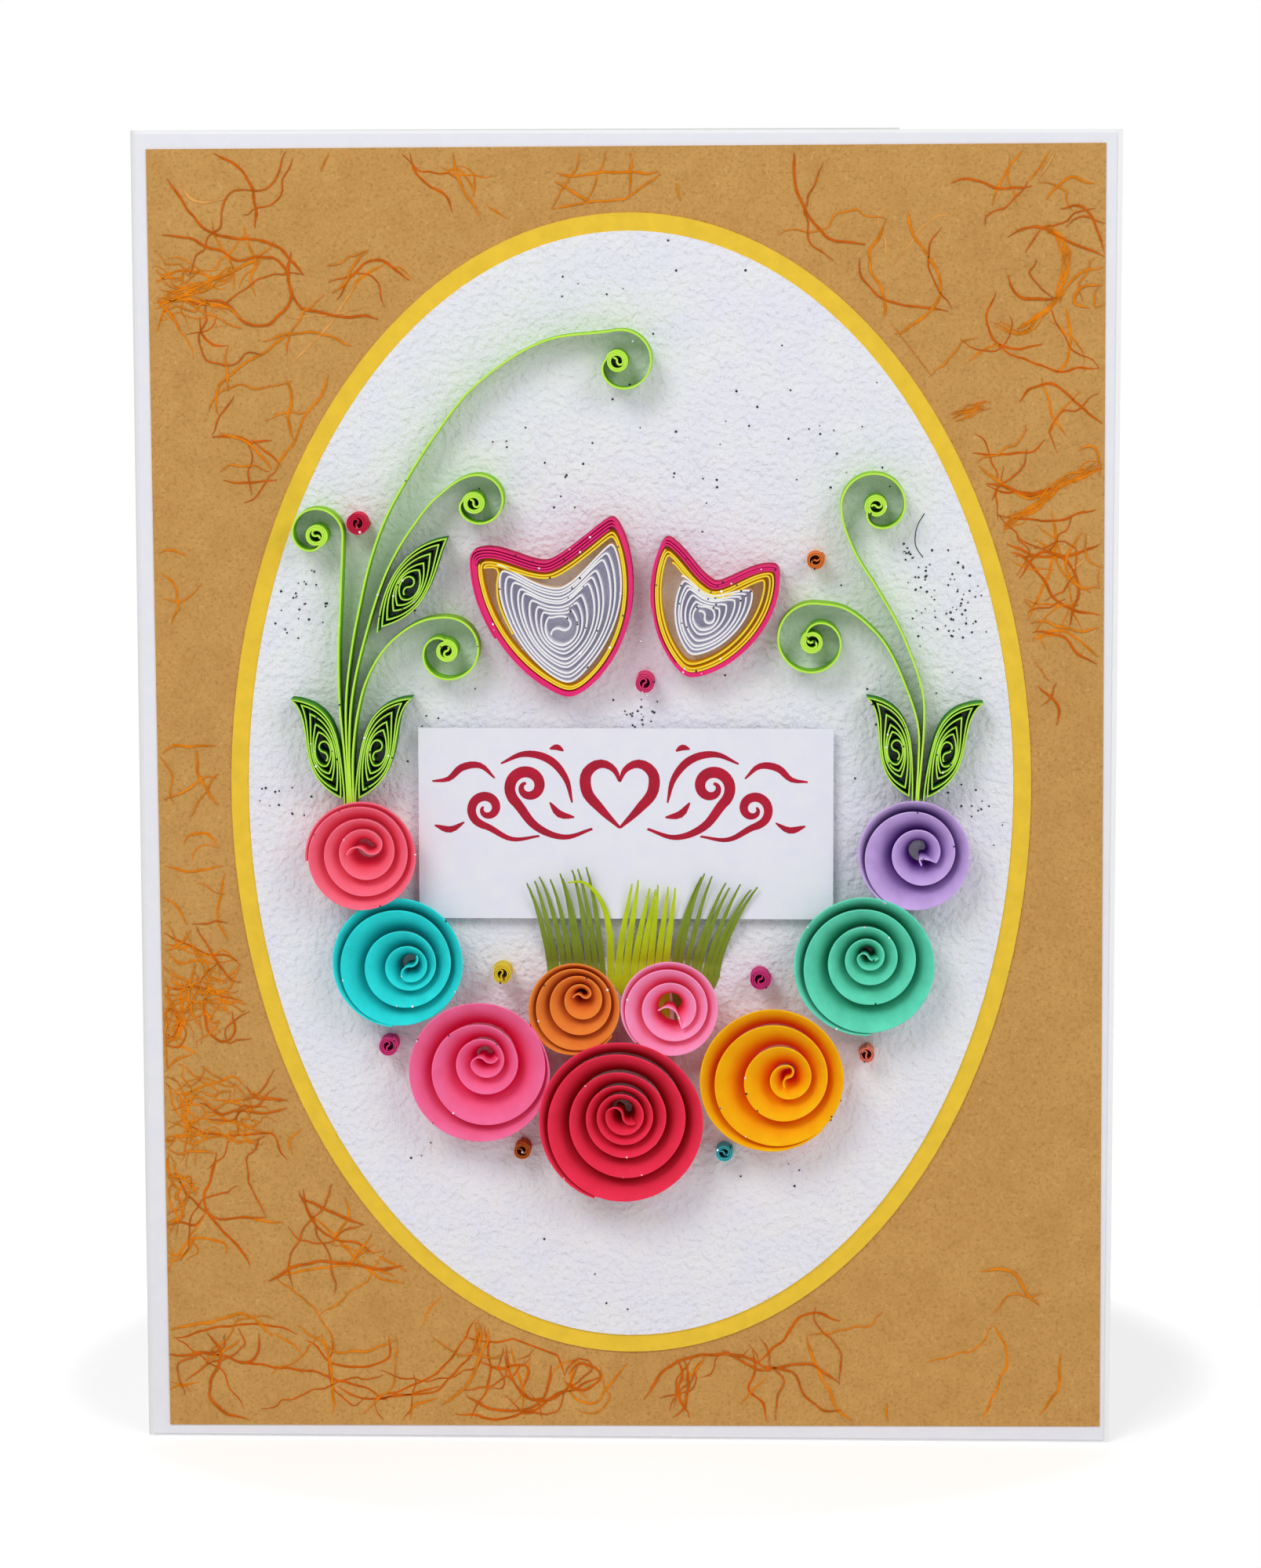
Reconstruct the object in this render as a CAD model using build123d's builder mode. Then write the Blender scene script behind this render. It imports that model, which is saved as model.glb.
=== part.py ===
"""Quilled paper greeting card, standing open on its bottom edges.

Millimetres, +Z up, the decorated leaf faces -Y. The origin is at the bottom, in the middle of the whole.
Every place on the decorated leaf is given as (x, z) from the leaf's middle, seen from the front.
"""
from build123d import *
from math import acos, cos, degrees, hypot, radians, sin
import os

# Folded card and the flat layers glued on its front leaf
card_width = 148.0
card_height = 200.0
card_thickness = 0.5
fold_radius = 1.2
opening_angle = 38.0
panel_side_margin = 0.9
panel_end_margin = 0.5
panel_thickness = 0.3
kraft_side_margin = 1.6
kraft_end_margin = 1.85
kraft_thickness = 0.2
kraft_tilt = 0.3
kraft_centre = (0.5, -0.05)
oval_side_margin = 11.0
oval_end_margin = 10.75
oval_thickness = 0.3
oval_rim = 2.7
oval_centre = (0.7, 0.9)

# Label on foam squares
plaque_width = 62.6
plaque_height = 29.0
plaque_thickness = 0.3
plaque_centre = (0.1, -3.9)
pad_size = 6.0
pad_thickness = 1.5
pad_inset = 3.5

# Paper strips, all standing on edge
strip_width = 5.0
stem_thickness = 0.2
leaf_thickness = 0.16
band_thickness = 0.19
rose_thickness = 0.22
dot_width = 4.0
dot_thickness = 0.16
dot_pitch = 0.34
dot_turns = 1.5
scroll_turns = 1.75
scroll_pitch = 0.36
scroll_radius = 1.65
loop_ease = 3.0
hook_share = 0.62
hook_angle = 55.0

# How finely the bends are cut into flat facets, and how far an outline may run out at a sharp corner
facet_sag = 0.2
coarsest_radius = 4 * facet_sag
tight_facets = 8
strip_mitre = 1.6
band_mitre = 1.9

# Stems: places along the long bend from the foot, then the scroll that it ends in as its loop's centre,
# radius and starting angle, its tight coil's centre, the loop's turns and the way it winds.
# The winding is +1 for a roll that curls clockwise inwards and -1 for one that curls the other way.
stems = {
    "stem_left_outer": (
        [(-41.7, 0), (-42.1, 7), (-42.8, 13.7), (-42.9, 20), (-42.4, 32)],
        ((-46.2, 40), 4.0, 0, (-46.1, 39.1), 1.0, -1),
    ),
    "stem_left_tall": (
        [(-41.4, -0.4), (-41.75, 7), (-41.9, 13.7), (-39.8, 28.4), (-36.4, 40.7), (-28.8, 54),
         (-21.4, 63), (-11.6, 68.9)],
        ((-0.5, 65.8), 4.75, 100, (-0.9, 65.3), 1.0, 1),
    ),
    "stem_left_middle": (
        [(-41.1, -0.4), (-41.4, 7), (-41.1, 13.7), (-38.7, 25), (-35.0, 35.5), (-31.8, 40.9),
         (-27.7, 45.8)],
        ((-21.9, 45.1), 3.9, 95, (-22.2, 43.9), 1.0, 1),
    ),
    "stem_left_inner": (
        [(-40.8, 0), (-40.8, 7), (-39.9, 13.7), (-38.7, 18), (-34.6, 24.3), (-29.3, 27.3)],
        ((-26.6, 22.8), 4.8, 65, (-26.6, 22.2), 1.0, 1),
    ),
    "stem_right_tall": (
        [(44.1, 0.4), (44.5, 5.7), (44.9, 11.1), (44.8, 15.6), (42.2, 23.9), (37.7, 32.2),
         (34.2, 37.9)],
        ((37.4, 44.3), 5.0, 180, (37.6, 44.1), 1.0, 1),
    ),
    "stem_right_inner": (
        [(43.8, 0.4), (44.1, 5.7), (44.0, 11.1), (42.2, 17.4), (37.4, 25.7), (32.6, 29.2)],
        ((28.3, 24.5), 5.3, 85, (28.1, 23.6), 1.2, -1),
    ),
}
stem_facets = 10

# Leaves: foot, tip, the side on which the leaf swells (+1 is left of the line from foot to tip), how far
# its middle bends to that side and how wide it is next to the plain form
leaves = {
    "leaf_left_outer": ((-42.75, 0), (-51.3, 15), -1, 0.09, 1.25),
    "leaf_left_inner": ((-40.0, -0.2), (-31.0, 15.5), 1, 0.09, 1.25),
    "leaf_left_upper": ((-37.0, 25.3), (-25.9, 39.8), 1, 0.01, 1.15),
    "leaf_right_inner": ((42.95, 0.4), (35.3, 15.9), -1, 0.09, 1.25),
    "leaf_right_outer": ((45.2, 0.5), (54.5, 15), 1, 0.09, 1.25),
}
# The plain form's side from foot to tip, as two handles in shares of the leaf's length
leaf_side_handles = ((0.2, 0.2), (0.65, 0.1))
leaf_side_steps = 5
leaf_turns = 3.5
leaf_core_place = 0.45
leaf_core_radius = 0.05
bend_place = 2 / 3

# Rolled roses: rim centre, core centre, radius of the rim at the start of each turn, turns, angle of the
# outer end and height
roses = {
    "rose_coral": ((-39.3, -8.4), (-39.1, -7.5), (8.0, 7.6, 5.7, 3.6, 2.2), 3.4, 185, 6.6),
    "rose_turquoise": ((-34.0, -24.7), (-32.5, -25.3), (9.6, 9.2, 6.5, 3.65, 2.3), 4.0, 265, 5.6),
    "rose_pink_large": ((-21.7, -41.2), (-21.1, -39.4), (10.6, 9.9, 5.5, 3.1, 1.5), 3.5, 40, 6.6),
    "rose_crimson": ((-0.1, -49.0), (-0.3, -47.8), (12.5, 11.5, 8.4, 5.7, 4.0, 2.7, 1.5), 5.2, 250, 7.2),
    "rose_brown": ((-7.3, -31.7), (-6.4, -29.7), (6.7, 6.3, 4.9, 3.2, 1.1), 3.8, 325, 5.4),
    "rose_pink_small": ((7.1, -31.7), (7.2, -31.6), (7.1, 6.6, 4.5, 3.0), 2.8, 225, 5.4),
    "rose_amber": ((22.6, -42.3), (24.7, -41.9), (10.8, 10.1, 6.8, 3.5, 0.8), 3.6, 315, 6.6),
    "rose_mint": ((36.5, -25.0), (36.7, -23.4), (10.4, 9.8, 6.4, 3.8, 1.9, 0.9), 4.2, 275, 6.0),
    "rose_purple": ((43.8, -8.2), (44.4, -7.6), (8.2, 7.7, 4.3, 2.3), 2.75, 240, 6.0),
}
rose_foot_share = 0.5
rose_facet_sag = 0.32

# Tight coils: centre, diameter and the angle at which the strip ends
dots = {
    "dot_crimson": ((-39.9, 41.6), 3.5, 0),
    "dot_hot_pink": ((3.0, 17.7), 3.2, 130),
    "dot_orange": ((28.6, 36.2), 2.9, 45),
    "dot_yellow": ((-18.6, -26.7), 3.2, 150),
    "dot_magenta_left": ((-35.9, -37.8), 3.1, 60),
    "dot_brown": ((-15.7, -53.9), 2.8, 100),
    "dot_teal": ((15.0, -54.1), 2.7, 30),
    "dot_coral": ((36.5, -38.8), 2.6, 90),
    "dot_magenta_right": ((20.4, -27.3), 3.3, 10),
}

# Tulips: four sides, each from one corner to the next over two handles, and how the strips fill them
tulip_large_sides = [
    ((-23.2, 37.3), (-19.6, 39.6), (-15.4, 36.2), (-11.6, 36.1)),
    ((-11.6, 36.1), (-7.8, 37.9), (-5.1, 41.2), (-1.5, 43.2)),
    ((-1.5, 43.2), (4.3, 34.1), (1.5, 19.8), (-8.3, 15.1)),
    ((-8.3, 15.1), (-17.3, 18.5), (-23.3, 27.9), (-23.2, 37.3)),
]
tulip_small_sides = [
    ((6.2, 39.9), (9.5, 38.4), (10.7, 34.6), (13.8, 32.9)),
    ((13.8, 32.9), (16.9, 33.6), (19.9, 36.5), (23.2, 35.5)),
    ((23.2, 35.5), (24.5, 27.5), (17.6, 19.2), (9.4, 18.4)),
    ((9.4, 18.4), (3.3, 23.2), (2.4, 33.6), (6.2, 39.9)),
]
tulip_side_steps = (2, 3, 4, 4)
# Each band winds from one depth inside the outline to another over its turns. The white coil starts as the
# outline drawn in towards a point by a share and winds for its turns down to the round hole at its core.
tulips = {
    "tulip_large": (
        tulip_large_sides, {"pink": (0.1, 0.86, 2.8), "yellow": (1.13, 1.66, 2.0)},
        ((-7.6, 24.8), 0.75, 7.0, (-10.0, 25.6), 1.3),
    ),
    "tulip_small": (
        tulip_small_sides, {"pink": (0.1, 0.72, 2.2), "yellow": (1.0, 1.85, 2.6)},
        ((12.1, 26.2), 0.62, 5.0, (11.5, 27.4), 0.8),
    ),
}

# Fringed grass: left and right end of its foot, blades, how far the first and last blade lean, tip height
grass = {
    "grass_left": ((-12.6, -3.2), 8, (-3.4, -1.2), -11.0),
    "grass_middle": ((-3.0, 4.6), 7, (1.2, 3.2), -12.0),
    "grass_right": ((4.8, 12.8), 7, (4.6, 6.6), -11.0),
}
grass_thickness = 0.2
grass_foot_bottom = -36.4
grass_foot_top = -27.4
grass_rise_start = -25.5
grass_clearance = 0.4
grass_tip_lift = 1.2
grass_tip_scatter = 1.6
blade_gap = 0.16
blade_tip_width = 0.35
blade_overrun = 1.0

# Places worked out from the sizes above
leaf_middle = card_height / 2
panel_width = card_width - 2 * panel_side_margin
panel_height = card_height - 2 * panel_end_margin
kraft_width = panel_width - 2 * kraft_side_margin
kraft_height = panel_height - 2 * kraft_end_margin
oval_width = kraft_width - 2 * oval_side_margin
oval_height = kraft_height - 2 * oval_end_margin
panel_face = panel_thickness
kraft_face = panel_face + kraft_thickness
yellow_face = kraft_face + oval_thickness
white_face = yellow_face + oval_thickness
plaque_back = white_face + pad_thickness
plaque_face = plaque_back + plaque_thickness
front_reach = white_face + max(rose[5] for rose in roses.values())
back_reach = fold_radius * (1 + cos(radians(opening_angle)))
back_reach += (card_width - fold_radius) * sin(radians(opening_angle))
front_leaf_y = (front_reach - back_reach) / 2

os.makedirs("parts", exist_ok=True)


def front_plane(height):
    """Plane along the decorated leaf, a height in front of it: sketch x is X, sketch y is Z."""
    return Plane(origin=(0, front_leaf_y - height, leaf_middle), x_dir=(1, 0, 0), z_dir=(0, -1, 0))


def side_plane(right):
    """Plane across the decorated leaf: sketch x is the height in front of it and sketch y is Z."""
    return Plane(origin=(right, front_leaf_y, leaf_middle), x_dir=(0, -1, 0), z_dir=(-1, 0, 0))


def placed(points, height):
    """Sketch points as places in space, a height in front of the decorated leaf's face."""
    return [front_plane(height).from_local_coords(point) for point in points]


def save(piece, name):
    """Name a finished piece and write it."""
    piece.part.label = name
    export_step(piece.part, f"parts/{name}.step")


def between(first, second, share):
    """Point at a share of the way from one point to another."""
    return tuple(a + (b - a) * share for a, b in zip(first, second))


def around(centre, radius, angle):
    """Point on a circle, its angle in degrees from +X towards +Z."""
    return (centre[0] + radius * cos(radians(angle)), centre[1] + radius * sin(radians(angle)))


def sampled(curve, steps):
    """Points along a curve, its start left out."""
    return [tuple(curve @ (step / steps))[:2] for step in range(1, steps + 1)]


def curve_points(start, first_handle, last_handle, end, steps):
    """Points along a curve drawn with two handles, its start left out."""
    with BuildLine(mode=Mode.PRIVATE):
        curve = Bezier(start, first_handle, last_handle, end)
    return sampled(curve, steps)


def chord_angle(radius, sag=facet_sag):
    """Degrees turned by one flat facet that cuts a sag inside a circle."""
    return 2 * degrees(acos(1 - sag / max(radius, coarsest_radius)))


def spiral_points(centre, radius, core, core_radius, turns, start_angle, winding, ease=1.0):
    """Points of a roll that winds from a wide turn about centre to a narrow one about core."""
    swept = 0.0
    points = []
    while swept < 360 * turns:
        share = (swept / (360 * turns)) ** ease
        turn_radius = radius + (core_radius - radius) * share
        points.append(around(between(centre, core, share), turn_radius, start_angle - winding * swept))
        swept += chord_angle(turn_radius)
    points.append(around(core, core_radius, start_angle - winding * 360 * turns))
    return points


def turn_radius(radii, turn):
    """Radius of a roll part-way through a turn, from the radii at which its turns start."""
    whole = min(int(turn), len(radii) - 2)
    return radii[whole] + (radii[whole + 1] - radii[whole]) * (turn - whole)


def rose_points(centre, core, radii, turns, start_angle):
    """Points of a rose's rim, clockwise inwards to the hook in its core.

    Each turn has the facets of the turn around it, so that the close outer turns nest.
    """
    last = turn_radius(radii, turns)
    points = []
    turn = 0.0
    while turn < turns:
        radius = turn_radius(radii, turn)
        middle = between(core, centre, (radius - last) / (radii[0] - last))
        points.append(around(middle, radius, start_angle - 360 * turn))
        facets = round(360 / chord_angle(radii[max(int(turn) - 1, 0)], rose_facet_sag))
        turn = round(turn + 1 / facets, 6)
    points.append(around(core, last, start_angle - 360 * turns))
    return points + hook_points(core, last, start_angle - 360 * turns, 1)


def hook_points(core, radius, angle, winding):
    """The strip's inner end, bent in an S across the hole of its coil."""
    inner = radius * hook_share
    first_angle = angle - winding * hook_angle
    return [around(core, inner, first_angle), core, around(core, inner, first_angle - winding * 180)]


def tight_points(centre, radius, pitch, turns, start_angle, winding):
    """Points of a tight roll and its hook, with the same facets in every turn so that the turns nest."""
    points = []
    for facet in range(round(turns * tight_facets) + 1):
        swept = facet / tight_facets
        points.append(around(centre, radius - pitch * swept, start_angle - winding * 360 * swept))
    return points + hook_points(centre, radius - pitch * turns, start_angle - winding * 360 * turns, winding)


def side_step(before, point, after, limit):
    """Step to the left of a line at a point, one unit off both of the stretches that meet there."""
    incoming = Vector(point[0] - before[0], point[1] - before[1])
    outgoing = Vector(after[0] - point[0], after[1] - point[1])
    if incoming.length == 0:
        incoming = outgoing
    if outgoing.length == 0:
        outgoing = incoming
    direction = (incoming.normalized() + outgoing.normalized()).normalized()
    reach = min(1 / max(direction.dot(incoming.normalized()), 0.1), limit)
    return (-direction.Y * reach, direction.X * reach)


def strip_outline(points, thickness):
    """Closed outline of a strip seen on edge, half its thickness on each side of its middle line."""
    left = []
    right = []
    last = len(points) - 1
    for place, point in enumerate(points):
        step = side_step(points[max(place - 1, 0)], point, points[min(place + 1, last)], strip_mitre)
        left.append((point[0] + step[0] * thickness / 2, point[1] + step[1] * thickness / 2))
        right.append((point[0] - step[0] * thickness / 2, point[1] - step[1] * thickness / 2))
    return left + right[::-1]


def inset(outline, depth):
    """A closed clockwise outline moved inwards by the same depth all round."""
    points = []
    count = len(outline)
    for place, point in enumerate(outline):
        step = side_step(outline[place - 1], point, outline[(place + 1) % count], band_mitre)
        points.append((point[0] - step[0] * depth, point[1] - step[1] * depth))
    return points


def strip_on_edge(name, points, thickness, width, height=white_face):
    """Extrude one strip from its outline and save it."""
    with BuildPart() as strip:
        with BuildSketch(front_plane(height)):
            with BuildLine():
                Polyline(*strip_outline(points, thickness), close=True)
            make_face()
        extrude(amount=width)
    save(strip, name)


def drawn_in(outline, centre, scale):
    """A closed outline drawn in towards a point."""
    return [between(centre, point, scale) for point in outline]


def rounded_core(outline, core, radius):
    """The circle that an outline shrinks to, with one point for each of the outline's."""
    points = []
    for point in outline:
        reach = hypot(point[0] - core[0], point[1] - core[1])
        points.append(between(core, point, radius / reach))
    return points


def nested_turns(outer, inner, turns):
    """Points of a shaped coil that winds from an outer outline to an inner one."""
    count = len(outer)
    total = round(turns * count)
    return [between(outer[step % count], inner[step % count], step / total) for step in range(total + 1)]


# Folded card: one sheet, seen from above as two straight leaves joined by a round fold
with BuildPart() as card:
    with BuildSketch(Plane.XY):
        fold_centre = (fold_radius - card_width / 2, front_leaf_y + fold_radius)
        leaf_length = card_width - fold_radius
        inner_radius = fold_radius - card_thickness
        with BuildLine():
            Line((card_width / 2, front_leaf_y), (fold_centre[0], front_leaf_y))
            outer_fold = CenterArc(fold_centre, fold_radius, 270, opening_angle - 180)
            outer_back = PolarLine(outer_fold @ 1, leaf_length, opening_angle)
            inner_fold = CenterArc(fold_centre, inner_radius, 270, opening_angle - 180)
            inner_back = PolarLine(inner_fold @ 1, leaf_length, opening_angle)
            Line(outer_back @ 1, inner_back @ 1)
            inner_front = Line(inner_fold @ 0, (card_width / 2, front_leaf_y + card_thickness))
            Line(inner_front @ 1, (card_width / 2, front_leaf_y))
        make_face()
    extrude(amount=card_height)
save(card, "card")

# Flat layers on the front leaf
with BuildPart() as backing_panel:
    with BuildSketch(front_plane(0)):
        Rectangle(panel_width, panel_height)
    extrude(amount=panel_thickness)
save(backing_panel, "backing_panel")

with BuildPart() as kraft_sheet:
    with BuildSketch(front_plane(panel_face)):
        with Locations(Location(kraft_centre, kraft_tilt)):
            Rectangle(kraft_width, kraft_height)
    extrude(amount=kraft_thickness)
save(kraft_sheet, "kraft_sheet")

with BuildPart() as yellow_oval:
    with BuildSketch(front_plane(kraft_face)):
        with Locations(oval_centre):
            Ellipse(oval_width / 2, oval_height / 2)
    extrude(amount=oval_thickness)
save(yellow_oval, "yellow_oval")

with BuildPart() as white_oval:
    with BuildSketch(front_plane(yellow_face)):
        with Locations(oval_centre):
            Ellipse(oval_width / 2 - oval_rim, oval_height / 2 - oval_rim)
    extrude(amount=oval_thickness)
save(white_oval, "white_oval")

# Label and the foam squares behind its corners and middle
with BuildPart() as plaque:
    with BuildSketch(front_plane(plaque_back)):
        with Locations(plaque_centre):
            Rectangle(plaque_width, plaque_height)
    extrude(amount=plaque_thickness)
save(plaque, "plaque")

with BuildPart() as plaque_pads:
    with BuildSketch(front_plane(white_face)):
        with Locations(plaque_centre):
            with GridLocations(
                (plaque_width - pad_size) / 2 - pad_inset, plaque_height - pad_size - 2 * pad_inset, 3, 2
            ):
                Rectangle(pad_size, pad_size)
    extrude(amount=pad_thickness)
save(plaque_pads, "plaque_pads")

# Stems: a long bend, a wide loop and a tight coil, all one strip
for name, (bend, (loop, loop_radius, angle, coil, loop_turns, winding)) in stems.items():
    loop_start = around(loop, loop_radius, angle)
    loop_heading = around((0, 0), 1, angle - winding * 90)
    with BuildLine(mode=Mode.PRIVATE):
        long_bend = Spline(*bend, loop_start, tangents=[(0, 1), loop_heading])
    stem_line = [bend[0]] + sampled(long_bend, stem_facets)[:-1]
    stem_line += spiral_points(loop, loop_radius, coil, scroll_radius, loop_turns, angle, winding, loop_ease)
    coil_angle = angle - winding * 360 * loop_turns
    stem_line += tight_points(coil, scroll_radius, scroll_pitch, scroll_turns, coil_angle, winding)[1:]
    strip_on_edge(name, stem_line, stem_thickness, strip_width)

# Leaves: coils pinched at both ends, laid out straight and then bent to the side they swell on
leaf_side = curve_points((0, 0), *leaf_side_handles, (1, 0), leaf_side_steps)
leaf_outline = leaf_side + [(along, -across) for along, across in leaf_side[-2::-1]] + [(0, 0)]
leaf_hole = rounded_core(leaf_outline, (leaf_core_place, 0), leaf_core_radius)
leaf_coil = nested_turns(leaf_outline, leaf_hole, leaf_turns)
leaf_coil.append(between(leaf_coil[-1], (leaf_core_place, 0), 0.7))
for name, (foot, tip, swell, bend, fullness) in leaves.items():
    heading = (tip[0] - foot[0], tip[1] - foot[1])
    leaf_line = []
    for along, across in leaf_coil:
        bowed = bend * along**2 * (1 - along) / (bend_place**2 * (1 - bend_place))
        side = swell * (across * fullness + bowed)
        leaf_x = foot[0] + heading[0] * along - heading[1] * side
        leaf_z = foot[1] + heading[1] * along + heading[0] * side
        leaf_line.append((leaf_x, leaf_z))
    strip_on_edge(name, leaf_line, leaf_thickness, strip_width)


def closed_outline(sides):
    """Points once around a tulip."""
    points = []
    for side, steps in zip(sides, tulip_side_steps):
        points += curve_points(*side, steps)
    return points


# Tulips: two bands and a loose white coil each
for name, (sides, bands, (heart, share, white_turns, core, core_radius)) in tulips.items():
    outline = closed_outline(sides)
    for colour, (depth_out, depth_in, turns) in bands.items():
        line = nested_turns(inset(outline, depth_out), inset(outline, depth_in), turns)
        strip_on_edge(f"{name}_band_{colour}", line, band_thickness, strip_width)
    petal = drawn_in(outline, heart, share)
    line = nested_turns(petal, rounded_core(petal, core, core_radius), white_turns)
    strip_on_edge(f"{name}_coil_white", line, band_thickness, strip_width)

# Rolled roses: each wall leans outwards from a narrow foot to a wide rim
for name, (centre, core, radii, turns, angle, height) in roses.items():
    rose_foot = white_face
    if name in ("rose_brown", "rose_pink_small"):
        rose_foot += grass_thickness
    rim = strip_outline(rose_points(centre, core, radii, turns, angle), rose_thickness)
    foot_edge = placed(drawn_in(rim, core, rose_foot_share), rose_foot)
    rim_edge = placed(rim, rose_foot + height)
    walls = [Face(Wire.make_polygon(foot_edge)), Face(Wire.make_polygon(rim_edge))]
    for place in range(len(rim)):
        corners = [foot_edge[place - 1], foot_edge[place], rim_edge[place], rim_edge[place - 1]]
        walls.append(Face(Wire.make_polygon(corners)))
    with BuildPart() as rose:
        add(Solid(Shell(walls)))
    save(rose, name)

# Tight coils
for name, (centre, diameter, angle) in dots.items():
    dot_line = tight_points(centre, (diameter - dot_thickness) / 2, dot_pitch, dot_turns, angle, 1)
    strip_on_edge(name, dot_line, dot_thickness, dot_width)

# Grass: a fringed sheet, flat at its foot, that rises over the label's lower edge
grass_middle_face = white_face + grass_thickness / 2
grass_over_label = plaque_face + grass_clearance + grass_thickness / 2
label_edge = plaque_centre[1] - plaque_height / 2
for name, ((foot_left, foot_right), blades, (lean_first, lean_last), tip_height) in grass.items():
    reach = max(abs(lean_first), abs(lean_last)) + blade_overrun
    blade_width = (foot_right - foot_left) / blades
    with BuildPart() as fringe:
        with BuildSketch(side_plane(foot_right + reach)):
            with BuildLine():
                Polyline(
                    (grass_middle_face, grass_foot_bottom),
                    (grass_middle_face, grass_rise_start),
                    (grass_over_label, label_edge - grass_clearance),
                    (grass_over_label + grass_tip_lift, tip_height + blade_overrun),
                )
                offset(amount=grass_thickness / 2, kind=Kind.INTERSECTION)
            make_face()
        extrude(amount=foot_right - foot_left + 2 * reach)
        with BuildSketch(front_plane(0)):
            with BuildLine():
                comb = [(foot_left, grass_foot_bottom), (foot_left, grass_foot_top)]
                for blade in range(blades):
                    lean = lean_first + (lean_last - lean_first) * blade / (blades - 1)
                    blade_left = foot_left + blade * blade_width
                    blade_right = blade_left + blade_width
                    tip_x = (blade_left + blade_right) / 2 + lean
                    tip_z = tip_height - grass_tip_scatter * (blade * 3 % 4) / 3
                    comb.append((tip_x - blade_tip_width / 2, tip_z))
                    comb.append((tip_x + blade_tip_width / 2, tip_z))
                    comb.append((blade_right - blade_gap, grass_foot_top))
                    if blade < blades - 1:
                        comb.append((blade_right, grass_foot_top))
                comb.append((foot_right - blade_gap, grass_foot_bottom))
                Polyline(*comb, close=True)
            make_face()
        extrude(amount=front_reach, mode=Mode.INTERSECT)
    save(fringe, name)
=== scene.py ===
"""Quilled paper greeting card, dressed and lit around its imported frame.

Sizes are millimetres on the decorated leaf until place() turns them into metres. Every place on that leaf is
(x, z) from the leaf's middle, seen from the front, with a height in front of the leaf's face.
"""

import random
from math import atan2, cos, degrees, hypot, pi, radians, sin, tan

import bpy
from mathutils import Euler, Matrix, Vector, noise


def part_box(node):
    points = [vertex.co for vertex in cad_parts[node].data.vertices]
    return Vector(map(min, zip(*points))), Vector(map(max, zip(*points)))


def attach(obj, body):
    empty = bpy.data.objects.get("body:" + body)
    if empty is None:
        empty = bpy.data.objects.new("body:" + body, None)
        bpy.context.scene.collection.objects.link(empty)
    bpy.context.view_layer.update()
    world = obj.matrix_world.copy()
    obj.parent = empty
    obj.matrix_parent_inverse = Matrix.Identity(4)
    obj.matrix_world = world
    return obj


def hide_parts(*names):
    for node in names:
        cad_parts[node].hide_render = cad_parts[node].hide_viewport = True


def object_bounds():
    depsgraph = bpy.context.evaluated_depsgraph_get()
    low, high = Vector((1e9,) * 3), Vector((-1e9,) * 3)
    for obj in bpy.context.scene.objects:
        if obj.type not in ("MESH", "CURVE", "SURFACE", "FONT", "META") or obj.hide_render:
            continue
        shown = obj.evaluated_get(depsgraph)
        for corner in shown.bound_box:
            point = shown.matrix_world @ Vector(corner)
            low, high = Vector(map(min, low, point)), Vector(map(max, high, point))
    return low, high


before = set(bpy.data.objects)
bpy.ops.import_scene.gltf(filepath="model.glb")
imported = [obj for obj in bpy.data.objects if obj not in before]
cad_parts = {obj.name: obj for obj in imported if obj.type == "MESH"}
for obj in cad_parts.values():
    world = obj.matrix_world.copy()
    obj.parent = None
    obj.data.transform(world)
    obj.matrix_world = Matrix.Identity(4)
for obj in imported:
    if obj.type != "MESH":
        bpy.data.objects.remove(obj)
cad_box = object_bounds()

MM = 0.001

# Levels of the flat layers, taken from the frame
leaf_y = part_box("backing_panel")[1].y / MM
leaf_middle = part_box("card")[1].z / MM / 2
kraft_face = leaf_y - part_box("kraft_sheet")[0].y / MM
white_face = leaf_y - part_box("white_oval")[0].y / MM
plaque_face = leaf_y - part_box("plaque")[0].y / MM

# Paper strips
strip_width = 5.0
stem_thickness = 0.28
leaf_thickness = 0.2
band_thickness = 0.24
coil_thickness = 0.24
rose_thickness = 0.22
dot_width = 4.0
dot_thickness = 0.17
edge_round = 0.03
fine_step = 0.35
sharpest_step = 14.0
smallest_bend = 0.05
fewest_steps = 3
fewest_hook_steps = 6
strip_mitre = 1.7
no_length = 1e-9
no_area = 1e-12
least_cosine = 0.1
strip_rows = 4
rim_wobble = 0.22
rim_wobble_length = 6.0
rim_share = 0.55
path_wobble = 0.12
wobble_length = 9.0
sharp_angle = 35.0
hook_share = 0.72
tight_hook_share = 0.6
# First seed of each kind of piece, and the steps between the rows of noise that two seeds, or two directions,
# are read from
first_seeds = {"stem": 0, "leaf": 10, "tulip": 20, "rose": 30, "dot": 40, "grass": 50}
rim_seed_step = 3.7
path_seed_step = 7.31
path_other_row = Vector((31.7, 0, 0))
fibre_seed_step = 3.3
fibre_other_row = Vector((9.1, 0, 0))

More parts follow.
